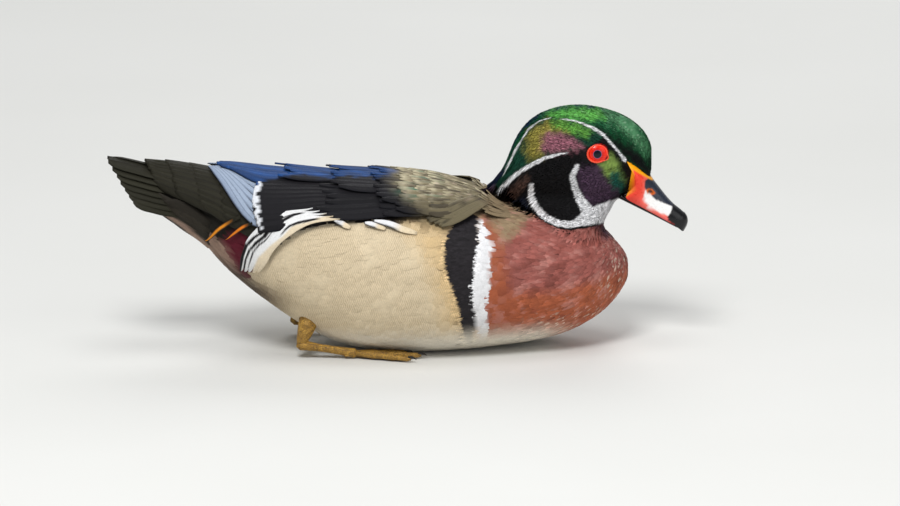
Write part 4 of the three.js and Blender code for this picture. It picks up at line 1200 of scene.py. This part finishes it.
# One vane: path of x and degrees from root to tip on the left side, mirrored by side -1
def bentVane(table, path, wide, lift, side, shape, outline=(0.5, 0.86, 1.0, 0.98, 0.84, 0.3), tilt=0.0, ease=0.6):
    u, v, h = shape.T

    def outward(up, points):
        return up * np.sign(np.sum(up * (points - bodyHeart), 1))[:, None]

    def spot(s):
        at = smoothPath(path, np.clip(s, 0, 1))
        rise = lift[0] + (lift[1] - lift[0]) * np.clip(s, 0, 1) ** ease
        points = formPoint(table, at[:, 0], side * at[:, 1])
        ahead = formPoint(table, at[:, 0] + 0.5, side * at[:, 1])
        around = formPoint(table, at[:, 0], side * at[:, 1] + 1.0)
        up = outward(unit(np.cross(around - points, ahead - points)) * side, points)
        return points + up * rise[:, None] * mm, up

    points, up = spot(v)
    way = unit(spot(v + vaneLook["step"])[0] - spot(v - vaneLook["step"])[0])
    across = unit(np.cross(up, way)) * side
    up = outward(unit(np.cross(way, across) * side), points)
    half = wide / 2 * np.interp(v, np.linspace(0, 1, len(outline)), outline)
    quill = vaneLook["ridge"] * onQuill(u) * (h > -0.5) * (1 - 0.6 * v)
    rise = -vaneLook["camber"] * wide * u**2 + quill + h * vaneLook["thick"] * (1 - 0.5 * v)
    rise += tilt * u * half
    return points + across * (u * half)[:, None] * mm + up * rise[:, None] * mm


# A piece of many vanes; each has its place in a sheet of its own for baking
def vanePiece(name, vanes, replaced=(), columns=14):
    allPoints, allFaces, tints, sheens, fines, barbs, sheet = [], [], [], [], [], [], []
    start = 0
    rows = math.ceil(len(vanes) / columns)
    for k, vane in enumerate(vanes):
        master = vane["master"]
        shape, faces = master
        points = vane["points"].copy()
        points[:, 2] = np.maximum(points[:, 2], 0.1 * mm)
        u, v, h = shape.T
        tint, sheen, fine = vane["paint"](u, v, points)
        top = (h > -0.5).astype(float)
        column, row = k % columns, k // columns
        cell = np.stack([(column + 0.26 + 0.2 * u + 0.48 * (1 - top)) / columns, (row + 0.06 + 0.88 * v) / rows], 1)
        allPoints.append(points)
        allFaces.append(faces + start)
        start += len(points)
        tints.append(tint * (0.55 + 0.45 * top)[:, None])
        sheens.append(sheen)
        fines.append(fine)
        barbs.append(np.stack([u * vane["wide"] * 0.05, v * vane["long"] * 0.1], 1))
        sheet.append(cell)
    points, faces = np.concatenate(allPoints), np.concatenate(allFaces)
    mesh = bpy.data.meshes.new(name)
    mesh.from_pydata(points.tolist(), [], faces.tolist())
    setSheets(mesh, faces.ravel(), np.concatenate(sheet), np.concatenate(barbs))
    setTint(mesh, np.concatenate(tints), np.concatenate(sheens), np.concatenate(fines))
    makePiece(name, mesh, coatFinish, replaced)
    print(name, len(vanes), "vanes", len(faces), "triangles")


# Row of vanes between a first and a last path given in the picture; coats says how each is painted
def vaneRow(table, side, first, last, count, wide, lift, seed, paintVane=None, onPicture=True,
            master="long", bow=0.0, stray=0.7, **style):
    draw = np.random.default_rng(seed)
    firstPath, lastPath = [np.array(onForm(table, path) if onPicture else path, float) for path in (first, last)]
    paintVane = paintVane or wingPaint
    shape = masters[master][0]
    vanes = []
    for k in range(count):
        s = k / max(count - 1, 1)
        path = firstPath + (lastPath - firstPath) * s
        path[-1, 0] += draw.uniform(-stray, stray) + bow * math.sin(math.pi * s)
        path[1:, 1] += draw.uniform(-0.7, 0.7)
        made = bentVane(table, path, wide * draw.uniform(0.94, 1.06), lift, side, shape, **style)
        long = np.linalg.norm(made[np.argmax(shape[:, 1])] - made[np.argmin(shape[:, 1])]) / mm
        luck = draw.normal()
        vanes.append({"points": made, "master": masters[master], "wide": wide, "long": long,
                      "paint": lambda u, v, p, k=k, luck=luck: paintVane(u, v, p, k, luck)})
    return vanes


# Painting of each kind of vane: across u from -1 to 1, along v from 0 at the root to 1 at the tip
crescent = ([(264.5, 172), (259, 181), (255.6, 190), (255, 200), (256, 210), (260.5, 227)],
            [1.2, 2.0, 2.6, 2.8, 2.4, 1.3])
# blue on the wing's top: the feathers' own blue gloss with painted reflection of the sky
glossAndSkyField = [(205, 150), (420, 150), (400, 174), (380, 176), (330, 176.5), (290, 175), (266, 180), (252, 186),
             (240, 175), (212, 162)]
mottleField = [(398, 150), (540, 150), (540, 240), (424, 240), (430, 222), (412, 204), (394, 184)]


def primaryPaint(u, v, points, k, luck):
    tint = flatTint(len(u), tone(156, 170, 190))
    tint = blendTint(tint, tone(128, 142, 168), ramp(0.3, -0.9, u) * 0.6)
    tint = blendTint(tint, tone(30, 34, 48), np.maximum(ramp(0.7, 0.9, u), ramp(-0.86, -0.97, u)))
    tint = blendTint(tint, tone(92, 104, 128), onQuill(u) * 0.6)
    return tint, np.full(len(u), 0.1), np.zeros(len(u))


# Colours of the folded wing by place: blue along the top, partly the feathers' own blue gloss and partly painted
# reflection of the sky on their upper faces; black below, bronze and pale mottling in front
def wingPaint(u, v, points, k, luck):
    at = nearSide(points)
    at = at + uneven(points, 0.004, 14)[:, None] * 2.0
    tint = flatTint(len(u), tone(22, 21, 25)) * (1 + 0.12 * luck)
    blue = patch(at, glossAndSkyField, 4.5) * (0.85 + 0.1 * luck)
    glossAndSkyTone = tone(28, 72, 132) * (1 + 0.25 * uneven(points, 0.007, 15))[:, None]
    tint = blendTint(tint, glossAndSkyTone, np.clip(blue, 0, 1))
    tint = blendTint(tint, tone(8, 10, 20), ramp(0.7, 1.0, np.abs(u)) * 0.6)
    mottled = patch(at, mottleField, 22)
    base = flatTint(len(u), tone(124, 114, 88))
    base = blendTint(base, tone(66, 112, 92), float(ramp(0.6, 1.3, luck)) * ramp(450, 425, at[:, 0]) * 0.8)
    base = blendTint(base, tone(58, 50, 42), np.full(len(u), float(ramp(-0.2, -1.0, luck))) * 0.7)
    edge = np.maximum(ramp(0.45, 0.9, np.abs(u)) * 0.8, ramp(0.66, 0.92, v + 0.06 * luck))
    edge = edge * (0.75 + 0.3 * uneven(points, 0.003, 16))
    base = blendTint(base, tone(198, 188, 158), np.clip(edge, 0, 1) * ramp(212, 186, at[:, 1]))
    base *= (1 - 0.28 * ramp(188, 208, at[:, 1]))[:, None]
    rosy = ramp(0.5, 1.2, uneven(points, 0.0035, 17)) * 0.45 * ramp(204, 190, at[:, 1])
    base = blendTint(base, tone(206, 182, 168), rosy)
    base = blendTint(base, tone(146, 126, 98), ramp(476, 494, at[:, 0]) * 0.75)
    base = blendTint(base, tone(36, 32, 28), ramp(0.4, 1.1, uneven(points, 0.0024, 18)) * 0.6)
    tint = blendTint(tint, base, mottled)
    pale = stripe(at, *crescent) * (v > 0.6) if k < 0 else 0
    tint = blendTint(tint, tone(222, 225, 230), pale * np.ones(len(u)))
    return tint, 0.22 * (1 - mottled) * (1 - pale), np.zeros(len(u))


def secondaryPaint(u, v, points, k, luck):
    return wingPaint(u, v, points, -1, luck * 0.3)


wingRows = [
    # first and last path on the picture from root to tip, count, width and lift from root to tip;
    # wingPaint and the long vane where no other is named
    dict(first=[(280, 226), (258, 222), (243, 206), (226, 179), (209, 163)], last=[(300, 186), (268, 178),
                                                                                   (248, 171), (236, 167), (226, 163)],
         count=7, wide=7.2, lift=(0.4, 1.2), paintVane=primaryPaint, tilt=0.08, outline=(0.6, 0.9, 1, 0.95, 0.8, 0.25)),
    dict(first=[(350, 212), (314, 217), (284, 224), (259, 227)], last=[(356, 178), (320, 174), (292, 172), (266, 172)],
         count=13, wide=7.4, lift=(0.8, 1.9), paintVane=secondaryPaint, bow=-5.5, stray=0.1,
         outline=(0.6, 0.9, 1, 1, 1, 0.95)),
    dict(first=[(340, 177), (300, 176), (262, 178), (228, 167)], last=[(352, 164), (304, 161), (262, 156), (215, 159)],
         count=5, wide=12, lift=(0.9, 2.6), stray=1.5),
    dict(first=[(420, 206), (390, 210), (360, 213), (322, 215)], last=[(424, 176), (392, 173), (362, 172), (326, 173)],
         count=9, wide=9, lift=(0.6, 2.3), stray=3.5),
    dict(first=[(446, 206), (426, 209), (406, 211), (378, 213)], last=[(440, 180), (424, 176), (404, 174), (380, 175)],
         count=8, wide=8, lift=(0.5, 2.5), stray=3.5, master="short"),
    dict(first=[(360, 178), (334, 178), (310, 178), (280, 177)], last=[(360, 166), (334, 165), (312, 164), (290, 162)],
         count=4, wide=10, lift=(0.9, 4.2), stray=3.0),
    dict(first=[(410, 190), (384, 188), (362, 188), (334, 187)], last=[(410, 169), (386, 167), (364, 166), (336, 164)],
         count=6, wide=9, lift=(0.9, 4.6), stray=3.5),
    dict(first=[(428, 198), (408, 200), (394, 201), (378, 200)], last=[(428, 171), (410, 168), (394, 167), (376, 166)],
         count=9, wide=7.2, lift=(0.8, 4.4), stray=3.5, master="short"),
    dict(first=[(440, 206), (424, 209), (412, 210), (396, 209)], last=[(440, 171), (426, 169), (412, 168), (396, 166)],
         count=12, wide=6.0, lift=(0.8, 4.1), tilt=0.05, stray=3.0, master="short"),
    dict(first=[(452, 208), (438, 212), (426, 213), (412, 212)], last=[(452, 172), (438, 170), (426, 169), (412, 168)],
         count=13, wide=5.6, lift=(0.7, 3.7), tilt=0.05, stray=3.0, master="short"),
    dict(first=[(462, 209), (450, 213), (438, 215), (426, 215)], last=[(462, 173), (450, 172), (438, 171), (426, 169)],
         count=14, wide=5.2, lift=(0.5, 3.3), tilt=0.05, stray=2.6, master="short"),
    dict(first=[(472, 208), (460, 212), (450, 215), (438, 216)], last=[(472, 175), (460, 172), (450, 172), (440, 171)],
         count=14, wide=5.0, lift=(0.4, 2.5), tilt=0.05, stray=2.4, master="short"),
    dict(first=[(480, 206), (470, 209), (460, 212), (450, 214)], last=[(480, 177), (470, 174), (462, 173), (452, 172)],
         count=14, wide=4.6, lift=(0.2, 2.0), stray=2.2, master="short"),
    dict(first=[(488, 203), (479, 206), (470, 209), (462, 211)], last=[(488, 179), (480, 177), (472, 175), (463, 173)],
         count=13, wide=4.4, lift=(0.0, 1.4), stray=2.0, master="short"),
]


def makeWings():
    for name, side in (("left", 1), ("right", -1)):
        vanes = []
        for k, row in enumerate(wingRows):
            vanes += vaneRow(wingStations, side, seed=70 + k, **{"tilt": 0.04, **row})
        vanePiece(f"feathers_wing_{name}", vanes, (f"wing_{name}",))


makeWings()


# Flank and rump plumes
bandLines = [
    # dark lines of the rear flank with their half widths
    ([(236, 285), (240, 270), (242.5, 256), (246, 246), (254, 237.6), (262, 232.6), (272, 224), (284, 217),
      (296, 213.2)], [0.5, 1.2, 1.5, 1.6, 1.5, 1.2, 0.8, 0.6, 0.3]),
    ([(243, 274), (245.5, 260), (249, 251), (256, 243), (265, 236), (270, 228), (280, 222), (294, 214.6),
      (304, 212.6)], [0.8, 1.0, 1.2, 1.6, 1.8, 1.6, 1.5, 1.3, 0.8]),
    ([(280.5, 236), (284, 231), (288, 226.6), (299, 222.4), (316, 219)], [0.4, 1.0, 1.3, 1.4, 0.9]),
    ([(248, 268), (253, 252), (259, 245), (266, 240), (272, 232)], [0.4, 0.8, 0.9, 0.8, 0.3]),
]
paleField = [(228, 290), (232, 262), (246, 236), (262, 214), (284, 204), (303, 203), (334, 208), (318, 219),
             (306, 222), (292, 226), (283, 236), (270, 246), (258, 258), (250, 276)]
wineField = [(222, 292), (226, 262), (240, 238), (246, 242), (241.5, 256), (239, 271), (236, 292)]


def bandedPaint(u, v, points, k, luck):
    at = nearSide(points)
    tint = blendTint(flatTint(len(u), tone(226, 210, 182)), tone(234, 234, 234), patch(at, paleField, 3))
    tint = blendTint(tint, tone(84, 24, 36), patch(at, wineField, 1.5))
    for line, halves in bandLines:
        tint = blendTint(tint, tone(16, 14, 17), stripe(at, line, halves, soft=0.8))
    return tint, np.zeros(len(u)), np.zeros(len(u))


def edgePlumePaint(u, v, points, k, luck):
    tint = blendTint(flatTint(len(u), tone(226, 208, 176)), tone(232, 232, 234), ramp(0.3, 0.6, v))
    tint = blendTint(tint, tone(14, 13, 15), np.maximum(ramp(0.5, 0.8, -u), ramp(0.95, 0.99, v)) * ramp(0.35, 0.5, v))
    return tint, np.zeros(len(u)), np.zeros(len(u))


def orangePlumePaint(u, v, points, k, luck):
    orange = tone(236, 146, 34) * (1 - 0.22 * k * np.array([0, 1, 0.6]))
    tint = blendTint(flatTint(len(u), tone(34, 32, 22)), orange, ramp(0.8, 0.45, np.abs(u)) * ramp(0.1, 0.3, v))
    return tint, np.full(len(u), 0.1), np.zeros(len(u))


plumeRows = [
    dict(first=[(314, 210), (284, 216), (265, 229.5), (251, 247.5), (241, 273)], last=[(340, 221), (310, 223),
                                                                                       (287, 235), (270, 252),
                                                                                       (259, 274)],
         count=5, wide=6.0, lift=(5.2, 1.2), paintVane=bandedPaint, tilt=0.02, stray=0.2, ease=2.2,
         outline=(0.06, 0.7, 1, 0.95, 0.8, 0.25), master="close"),
    dict(first=[(417, 230.5), (404, 227), (390, 222.5), (373, 219)], last=[(417, 230.5), (404, 227), (390, 222.5),
                                                                           (373, 219)],
         count=1, wide=4.2, lift=(-0.6, 2.0), paintVane=edgePlumePaint, stray=0),
    dict(first=[(386, 227.5), (380, 225.5), (373, 224), (364, 223)], last=[(351, 225.5), (346, 223), (341, 221),
                                                                           (334, 219.5)],
         count=2, wide=3.8, lift=(0.0, 1.8), paintVane=edgePlumePaint, stray=0),
    dict(first=[(508, 208), (498, 210), (489, 211), (479, 212)], last=[(504, 194), (496, 193), (487, 192), (477, 190)],
         count=11, wide=4.2, lift=(-1.6, 3.6), stray=2.5, ease=1.5, master="short"),
    dict(first=[(516, 210), (507, 211), (498, 212), (489, 213)], last=[(508, 196), (501, 194), (494, 192), (485, 190)],
         count=10, wide=3.8, lift=(-1.6, 2.6), stray=2.5, ease=1.5, master="short"),
    dict(first=[(484, 205), (470, 211), (456, 218), (441, 225)], last=[(474, 199), (458, 204), (444, 210), (428, 218)],
         count=8, wide=5.2, lift=(4.4, 1.5), stray=2.0, ease=1.0, master="short"),
    dict(first=[(244, 217), (234, 221), (220, 231), (203, 245)], last=[(255, 223), (246, 227), (236, 233), (228, 240)],
         count=2, wide=2.6, lift=(6.0, 2.2), paintVane=orangePlumePaint, outline=(0.7, 1, 0.95, 0.8, 0.5, 0.08)),
]


def makePlumes():
    vanes = []
    for side in (1, -1):
        for k, row in enumerate(plumeRows):
            vanes += vaneRow(bodyStations, side, seed=90 + k, **{"tilt": 0.03, **row})
    vanePiece("feathers_plumes", vanes)


makePlumes()


# Tail: paired feathers in a low roof, with coverts above and below
rumpStations = [
    (-158, 118, 96, 5, 107, 2), (-146, 116.8, 88, 11.5, 101, 2), (-134, 115.2, 80, 15.5, 96, 2),
    (-122, 113.2, 70, 18.5, 91, 2), (-110, 110.8, 58, 25, 85, 2.1), (-98, 108.4, 48, 32.5, 78, 2.2),
    (-86, 106.6, 38, 39.5, 71, 2.2), (-74, 105.4, 28, 45, 64, 2.2),
]
tailLook = {"pairs": 7, "rootX": -124.0, "tipX": -176.5, "wide": 14.0}


def tailPaint(u, v, points, k, luck):
    tint = flatTint(len(u), tone(40, 38, 28))
    tint = blendTint(tint, tone(50, 50, 36), ramp(0.2, 1, u) * 0.35)
    tint = blendTint(tint, tone(26, 24, 20), onQuill(u) * 0.5)
    return tint * (1 + 0.1 * luck), np.full(len(u), 0.22), np.zeros(len(u))


marginLine = ([(146, 205), (163, 213), (182, 225), (203, 243), (216, 256)], [0.6, 1.4, 2.2, 2.6, 3.0])


def underTailPaint(u, v, points, k, luck):
    tint = flatTint(len(u), tone(42, 38, 31)) * (1 + 0.12 * luck)
    tint = blendTint(tint, tone(160, 134, 118), stripe(nearSide(points), *marginLine, soft=2) * 0.85)
    return tint, np.full(len(u), 0.1), np.zeros(len(u))


def tailFeather(k, side, draw):
    u, v, h = masters["long"][0].T
    slope = math.radians(26 + 3.4 * k)
    up = np.array([0, side * math.sin(slope), math.cos(slope)])
    across = np.array([0, math.cos(slope), -side * math.sin(slope)])
    root = np.array([tailLook["rootX"], side * (2.5 + 1.0 * k), 101.5 - 2.3 * k])
    tip = np.array([tailLook["tipX"] + 2.5 * k + draw.uniform(-0.4, 0.4), side * (4.6 + 2.9 * k), 118.4 - 2.9 * k])
    s = v[:, None]
    line = root + (tip - root) * s + up * (-1.05 * k + 1.6 * np.sin(math.pi * s))
    half = tailLook["wide"] / 2 * np.interp(v, [0, 0.2, 0.55, 0.85, 0.95, 1], [0.45, 0.72, 1, 0.92, 0.7, 0.34])
    rise = -0.06 * tailLook["wide"] * u**2 + 0.25 * onQuill(u) * (h > -0.5) + h * 0.45
    points = (line + across * (u * half)[:, None] + up * rise[:, None]) * mm
    luck = draw.normal()
    return {"points": points, "master": masters["long"], "wide": tailLook["wide"], "long": 54,
            "paint": lambda u, v, p: tailPaint(u * side, v, p, k, luck)}


def makeTail():
    draw = np.random.default_rng(77)
    vanes = [tailFeather(k, side, draw) for side in (1, -1) for k in range(tailLook["pairs"])]
    # above the tail, then below it
    overRows = [
        dict(first=[(-116, 78), (-132, 78), (-150, 76)], last=[(-116, 7), (-134, 7), (-154, 7)],
             count=7, wide=9, lift=(-1.2, -0.2)),
        dict(first=[(-103, 80), (-119, 80), (-136, 78)], last=[(-103, 7), (-121, 7), (-141, 7)],
             count=8, wide=9, lift=(-0.8, 0.4)),
        dict(first=[(-89, 82), (-105, 82), (-122, 80)], last=[(-89, 7), (-107, 7), (-127, 7)],
             count=9, wide=9.5, lift=(-1.2, 0.4)),
        dict(first=[(-76, 80), (-92, 82), (-108, 82)], last=[(-76, 7), (-94, 7), (-113, 7)],
             count=9, wide=10, lift=(-2.0, 0.4)),
    ]
    underRows = [
        dict(first=[(-116, 96), (-128, 100), (-143, 104)], last=[(-116, 160), (-128, 160), (-143, 160)],
             count=5, wide=10, lift=(0.2, 1.6)),
        dict(first=[(-128, 108), (-140, 108), (-151, 106)], last=[(-128, 150), (-140, 150), (-151, 148)],
             count=4, wide=9, lift=(0.2, 1.4)),
    ]
    styles = [(rumpStations, tailPaint, row) for row in overRows]
    styles += [(bodyStations, underTailPaint, row) for row in underRows]
    for k, (table, paintVane, row) in enumerate(styles):
        for side in (1, -1):
            vanes += vaneRow(table, side, seed=120 + k, paintVane=paintVane, onPicture=False, master="short", **row)
    vanePiece("feathers_tail", vanes, ("tail",))


makeTail()


# Legs: shank laid forward, three webbed toes with claws and a small hind toe
legLook = {"side": 33, "stub": (-56, 26), "heel": (-62, 8.5), "toeBase": (-30, 3.4), "shank": 2.7, "thigh": 6.4}
footLook = {"toeLong": (36, 45, 40), "toeDegrees": (-9, 6, 22), "toe": 1.75, "claw": 6.0, "web": 0.9}


def tube(bm, points, radii, around=14):
    points = [Vector(p) for p in points]
    rings = []
    for k, (point, radius) in enumerate(zip(points, radii)):
        way = (points[min(k + 1, len(points) - 1)] - points[max(k - 1, 0)]).normalized()
        turn = Matrix.Translation(point) @ way.to_track_quat("Z", "Y").to_matrix().to_4x4()
        rings.append(bmesh.ops.create_circle(bm, cap_ends=False, segments=around, radius=radius, matrix=turn)["verts"])
    for first, second in zip(rings[:-1], rings[1:]):
        edges = [e for ring in (first, second) for e in {e for v in ring for e in v.link_edges}
                 if all(v in ring for v in e.verts)]
        bmesh.ops.bridge_loops(bm, edges=edges)
    for ring in (rings[0], rings[-1]):
        bmesh.ops.contextual_create(bm, geom=ring)


def makeLegs():
    finish = Finish("legScales", Specular_IOR_Level=0.4)
    place = finish.place()
    cells = finish.node("ShaderNodeTexVoronoi", {"feature": "DISTANCE_TO_EDGE"}, {"Vector": place, "Scale": 900.0})
    grain = finish.noise(400.0, 3.0)
    edge = finish.span(cells, 0.0, 0.12)
    skinTone = finish.mix(finish.span(grain, 0.35, 0.7), tone(150, 112, 44), tone(196, 152, 66))
    colour = finish.mix(edge, tone(84, 62, 30), skinTone)
    colour = finish.mix(finish.attribute("dark", "Fac"), colour, tone(38, 34, 30))
    scales = finish.link(Base_Color=colour, Roughness=grain * 0.25 + 0.42, Normal=finish.raised(edge, 0.0002, 0.7))
    for name, side in (("left", 1), ("right", -1)):
        bm = bmesh.new()
        base = np.array([legLook["toeBase"][0], side * (legLook["side"] + 2), legLook["toeBase"][1]])
        heel = np.array([legLook["heel"][0], side * legLook["side"], legLook["heel"][1]])
        stub = np.array([legLook["stub"][0], side * (legLook["side"] - 3), legLook["stub"][1]])
        shank = legLook["shank"]
        tube(bm, [stub * mm, (stub * 0.5 + heel * 0.5) * mm, (stub * 0.15 + heel * 0.85) * mm, heel * mm],
             [legLook["thigh"] * mm, 5.0 * mm, 3.6 * mm, 2.6 * mm], 20)
        line = [heel + (base - heel) * s for s in (-0.08, 0.0, 0.1, 0.3, 0.6, 0.88, 1.0, 1.06)]
        swell = (1.6, 3.3, 3.0, shank * 0.88, shank * 0.84, shank, shank * 1.1, 1.6)
        tube(bm, [p * mm for p in line], [r * mm for r in swell], 20)
        tips = []
        for long, degrees in zip(footLook["toeLong"], footLook["toeDegrees"]):
            turn = math.radians(degrees) * side
            tips.append(base + np.array([long * math.cos(turn), long * math.sin(turn), -1.3]))
        for tip in tips:
            stops = (0.0, 0.12, 0.24, 0.3, 0.42, 0.54, 0.6, 0.72, 0.84, 0.9)
            swell = (1.1, 1.0, 1.12, 1.22, 0.95, 1.0, 1.15, 0.88, 0.9, 0.5)
            points = [(base + (tip - base) * s) for s in stops]
            for point in points:
                point[2] = max(point[2], 1.9)
            tube(bm, [p * mm for p in points], [footLook["toe"] * w * mm for w in swell])
        way = unit(np.array([-7.0, side * 3, -1.6]))
        tube(bm, [(base + way * d) * mm for d in (0, 2.5, 5, 6.4)], [1.3 * mm, 1.2 * mm, 0.95 * mm, 0.5 * mm])
        count = len(bm.verts)
        for tip in tips:
            root = base + (tip - base) * 0.87
            way = unit(tip - base)
            bend = ((-0.5, 0.7), (1.5, 1.2), (3.4, 0.9), (4.8, 0.0))  # along the claw, and up
            points = [root + way * d + np.array([0, 0, rise]) for d, rise in bend]
            for point in points:
                point[2] = max(point[2], 0.5)
            tube(bm, [p * mm for p in points], [1.0 * mm, 0.85 * mm, 0.5 * mm, 0.12 * mm], 10)
        clawEnd = len(bm.verts)
        for first, second in zip(tips[:-1], tips[1:]):
            grid = bmesh.ops.create_grid(bm, x_segments=10, y_segments=12, size=1)["verts"]
            for vert in grid:
                a, s = (vert.co.x + 1) / 2, (vert.co.y + 1) / 2
                reach = 0.86 - 0.16 * math.sin(math.pi * a)
                edge0, edge1 = base + (first - base) * s * reach, base + (second - base) * s * reach
                point = edge0 + (edge1 - edge0) * a
                point[2] = 1.7 + 0.25 * math.sin(a * math.pi * 5) * s
                vert.co = Vector(point * mm)
            faces = list({f for v in grid for f in v.link_faces})
            bmesh.ops.solidify(bm, geom=faces, thickness=footLook["web"] * mm)
        bmesh.ops.recalc_face_normals(bm, faces=bm.faces)
        for vert in bm.verts:
            vert.co.z = max(vert.co.z, 0.15 * mm)
        dark = np.zeros(len(bm.verts))
        dark[count:clawEnd] = 1.0
        dark[clawEnd:] = 0.72
        mesh = meshFrom(f"leg_skin_{name}", bm)
        setValues(mesh, "dark", dark)
        makePiece(f"leg_skin_{name}", mesh, scales, (f"leg_{name}",))


makeLegs()
print("legs ready")
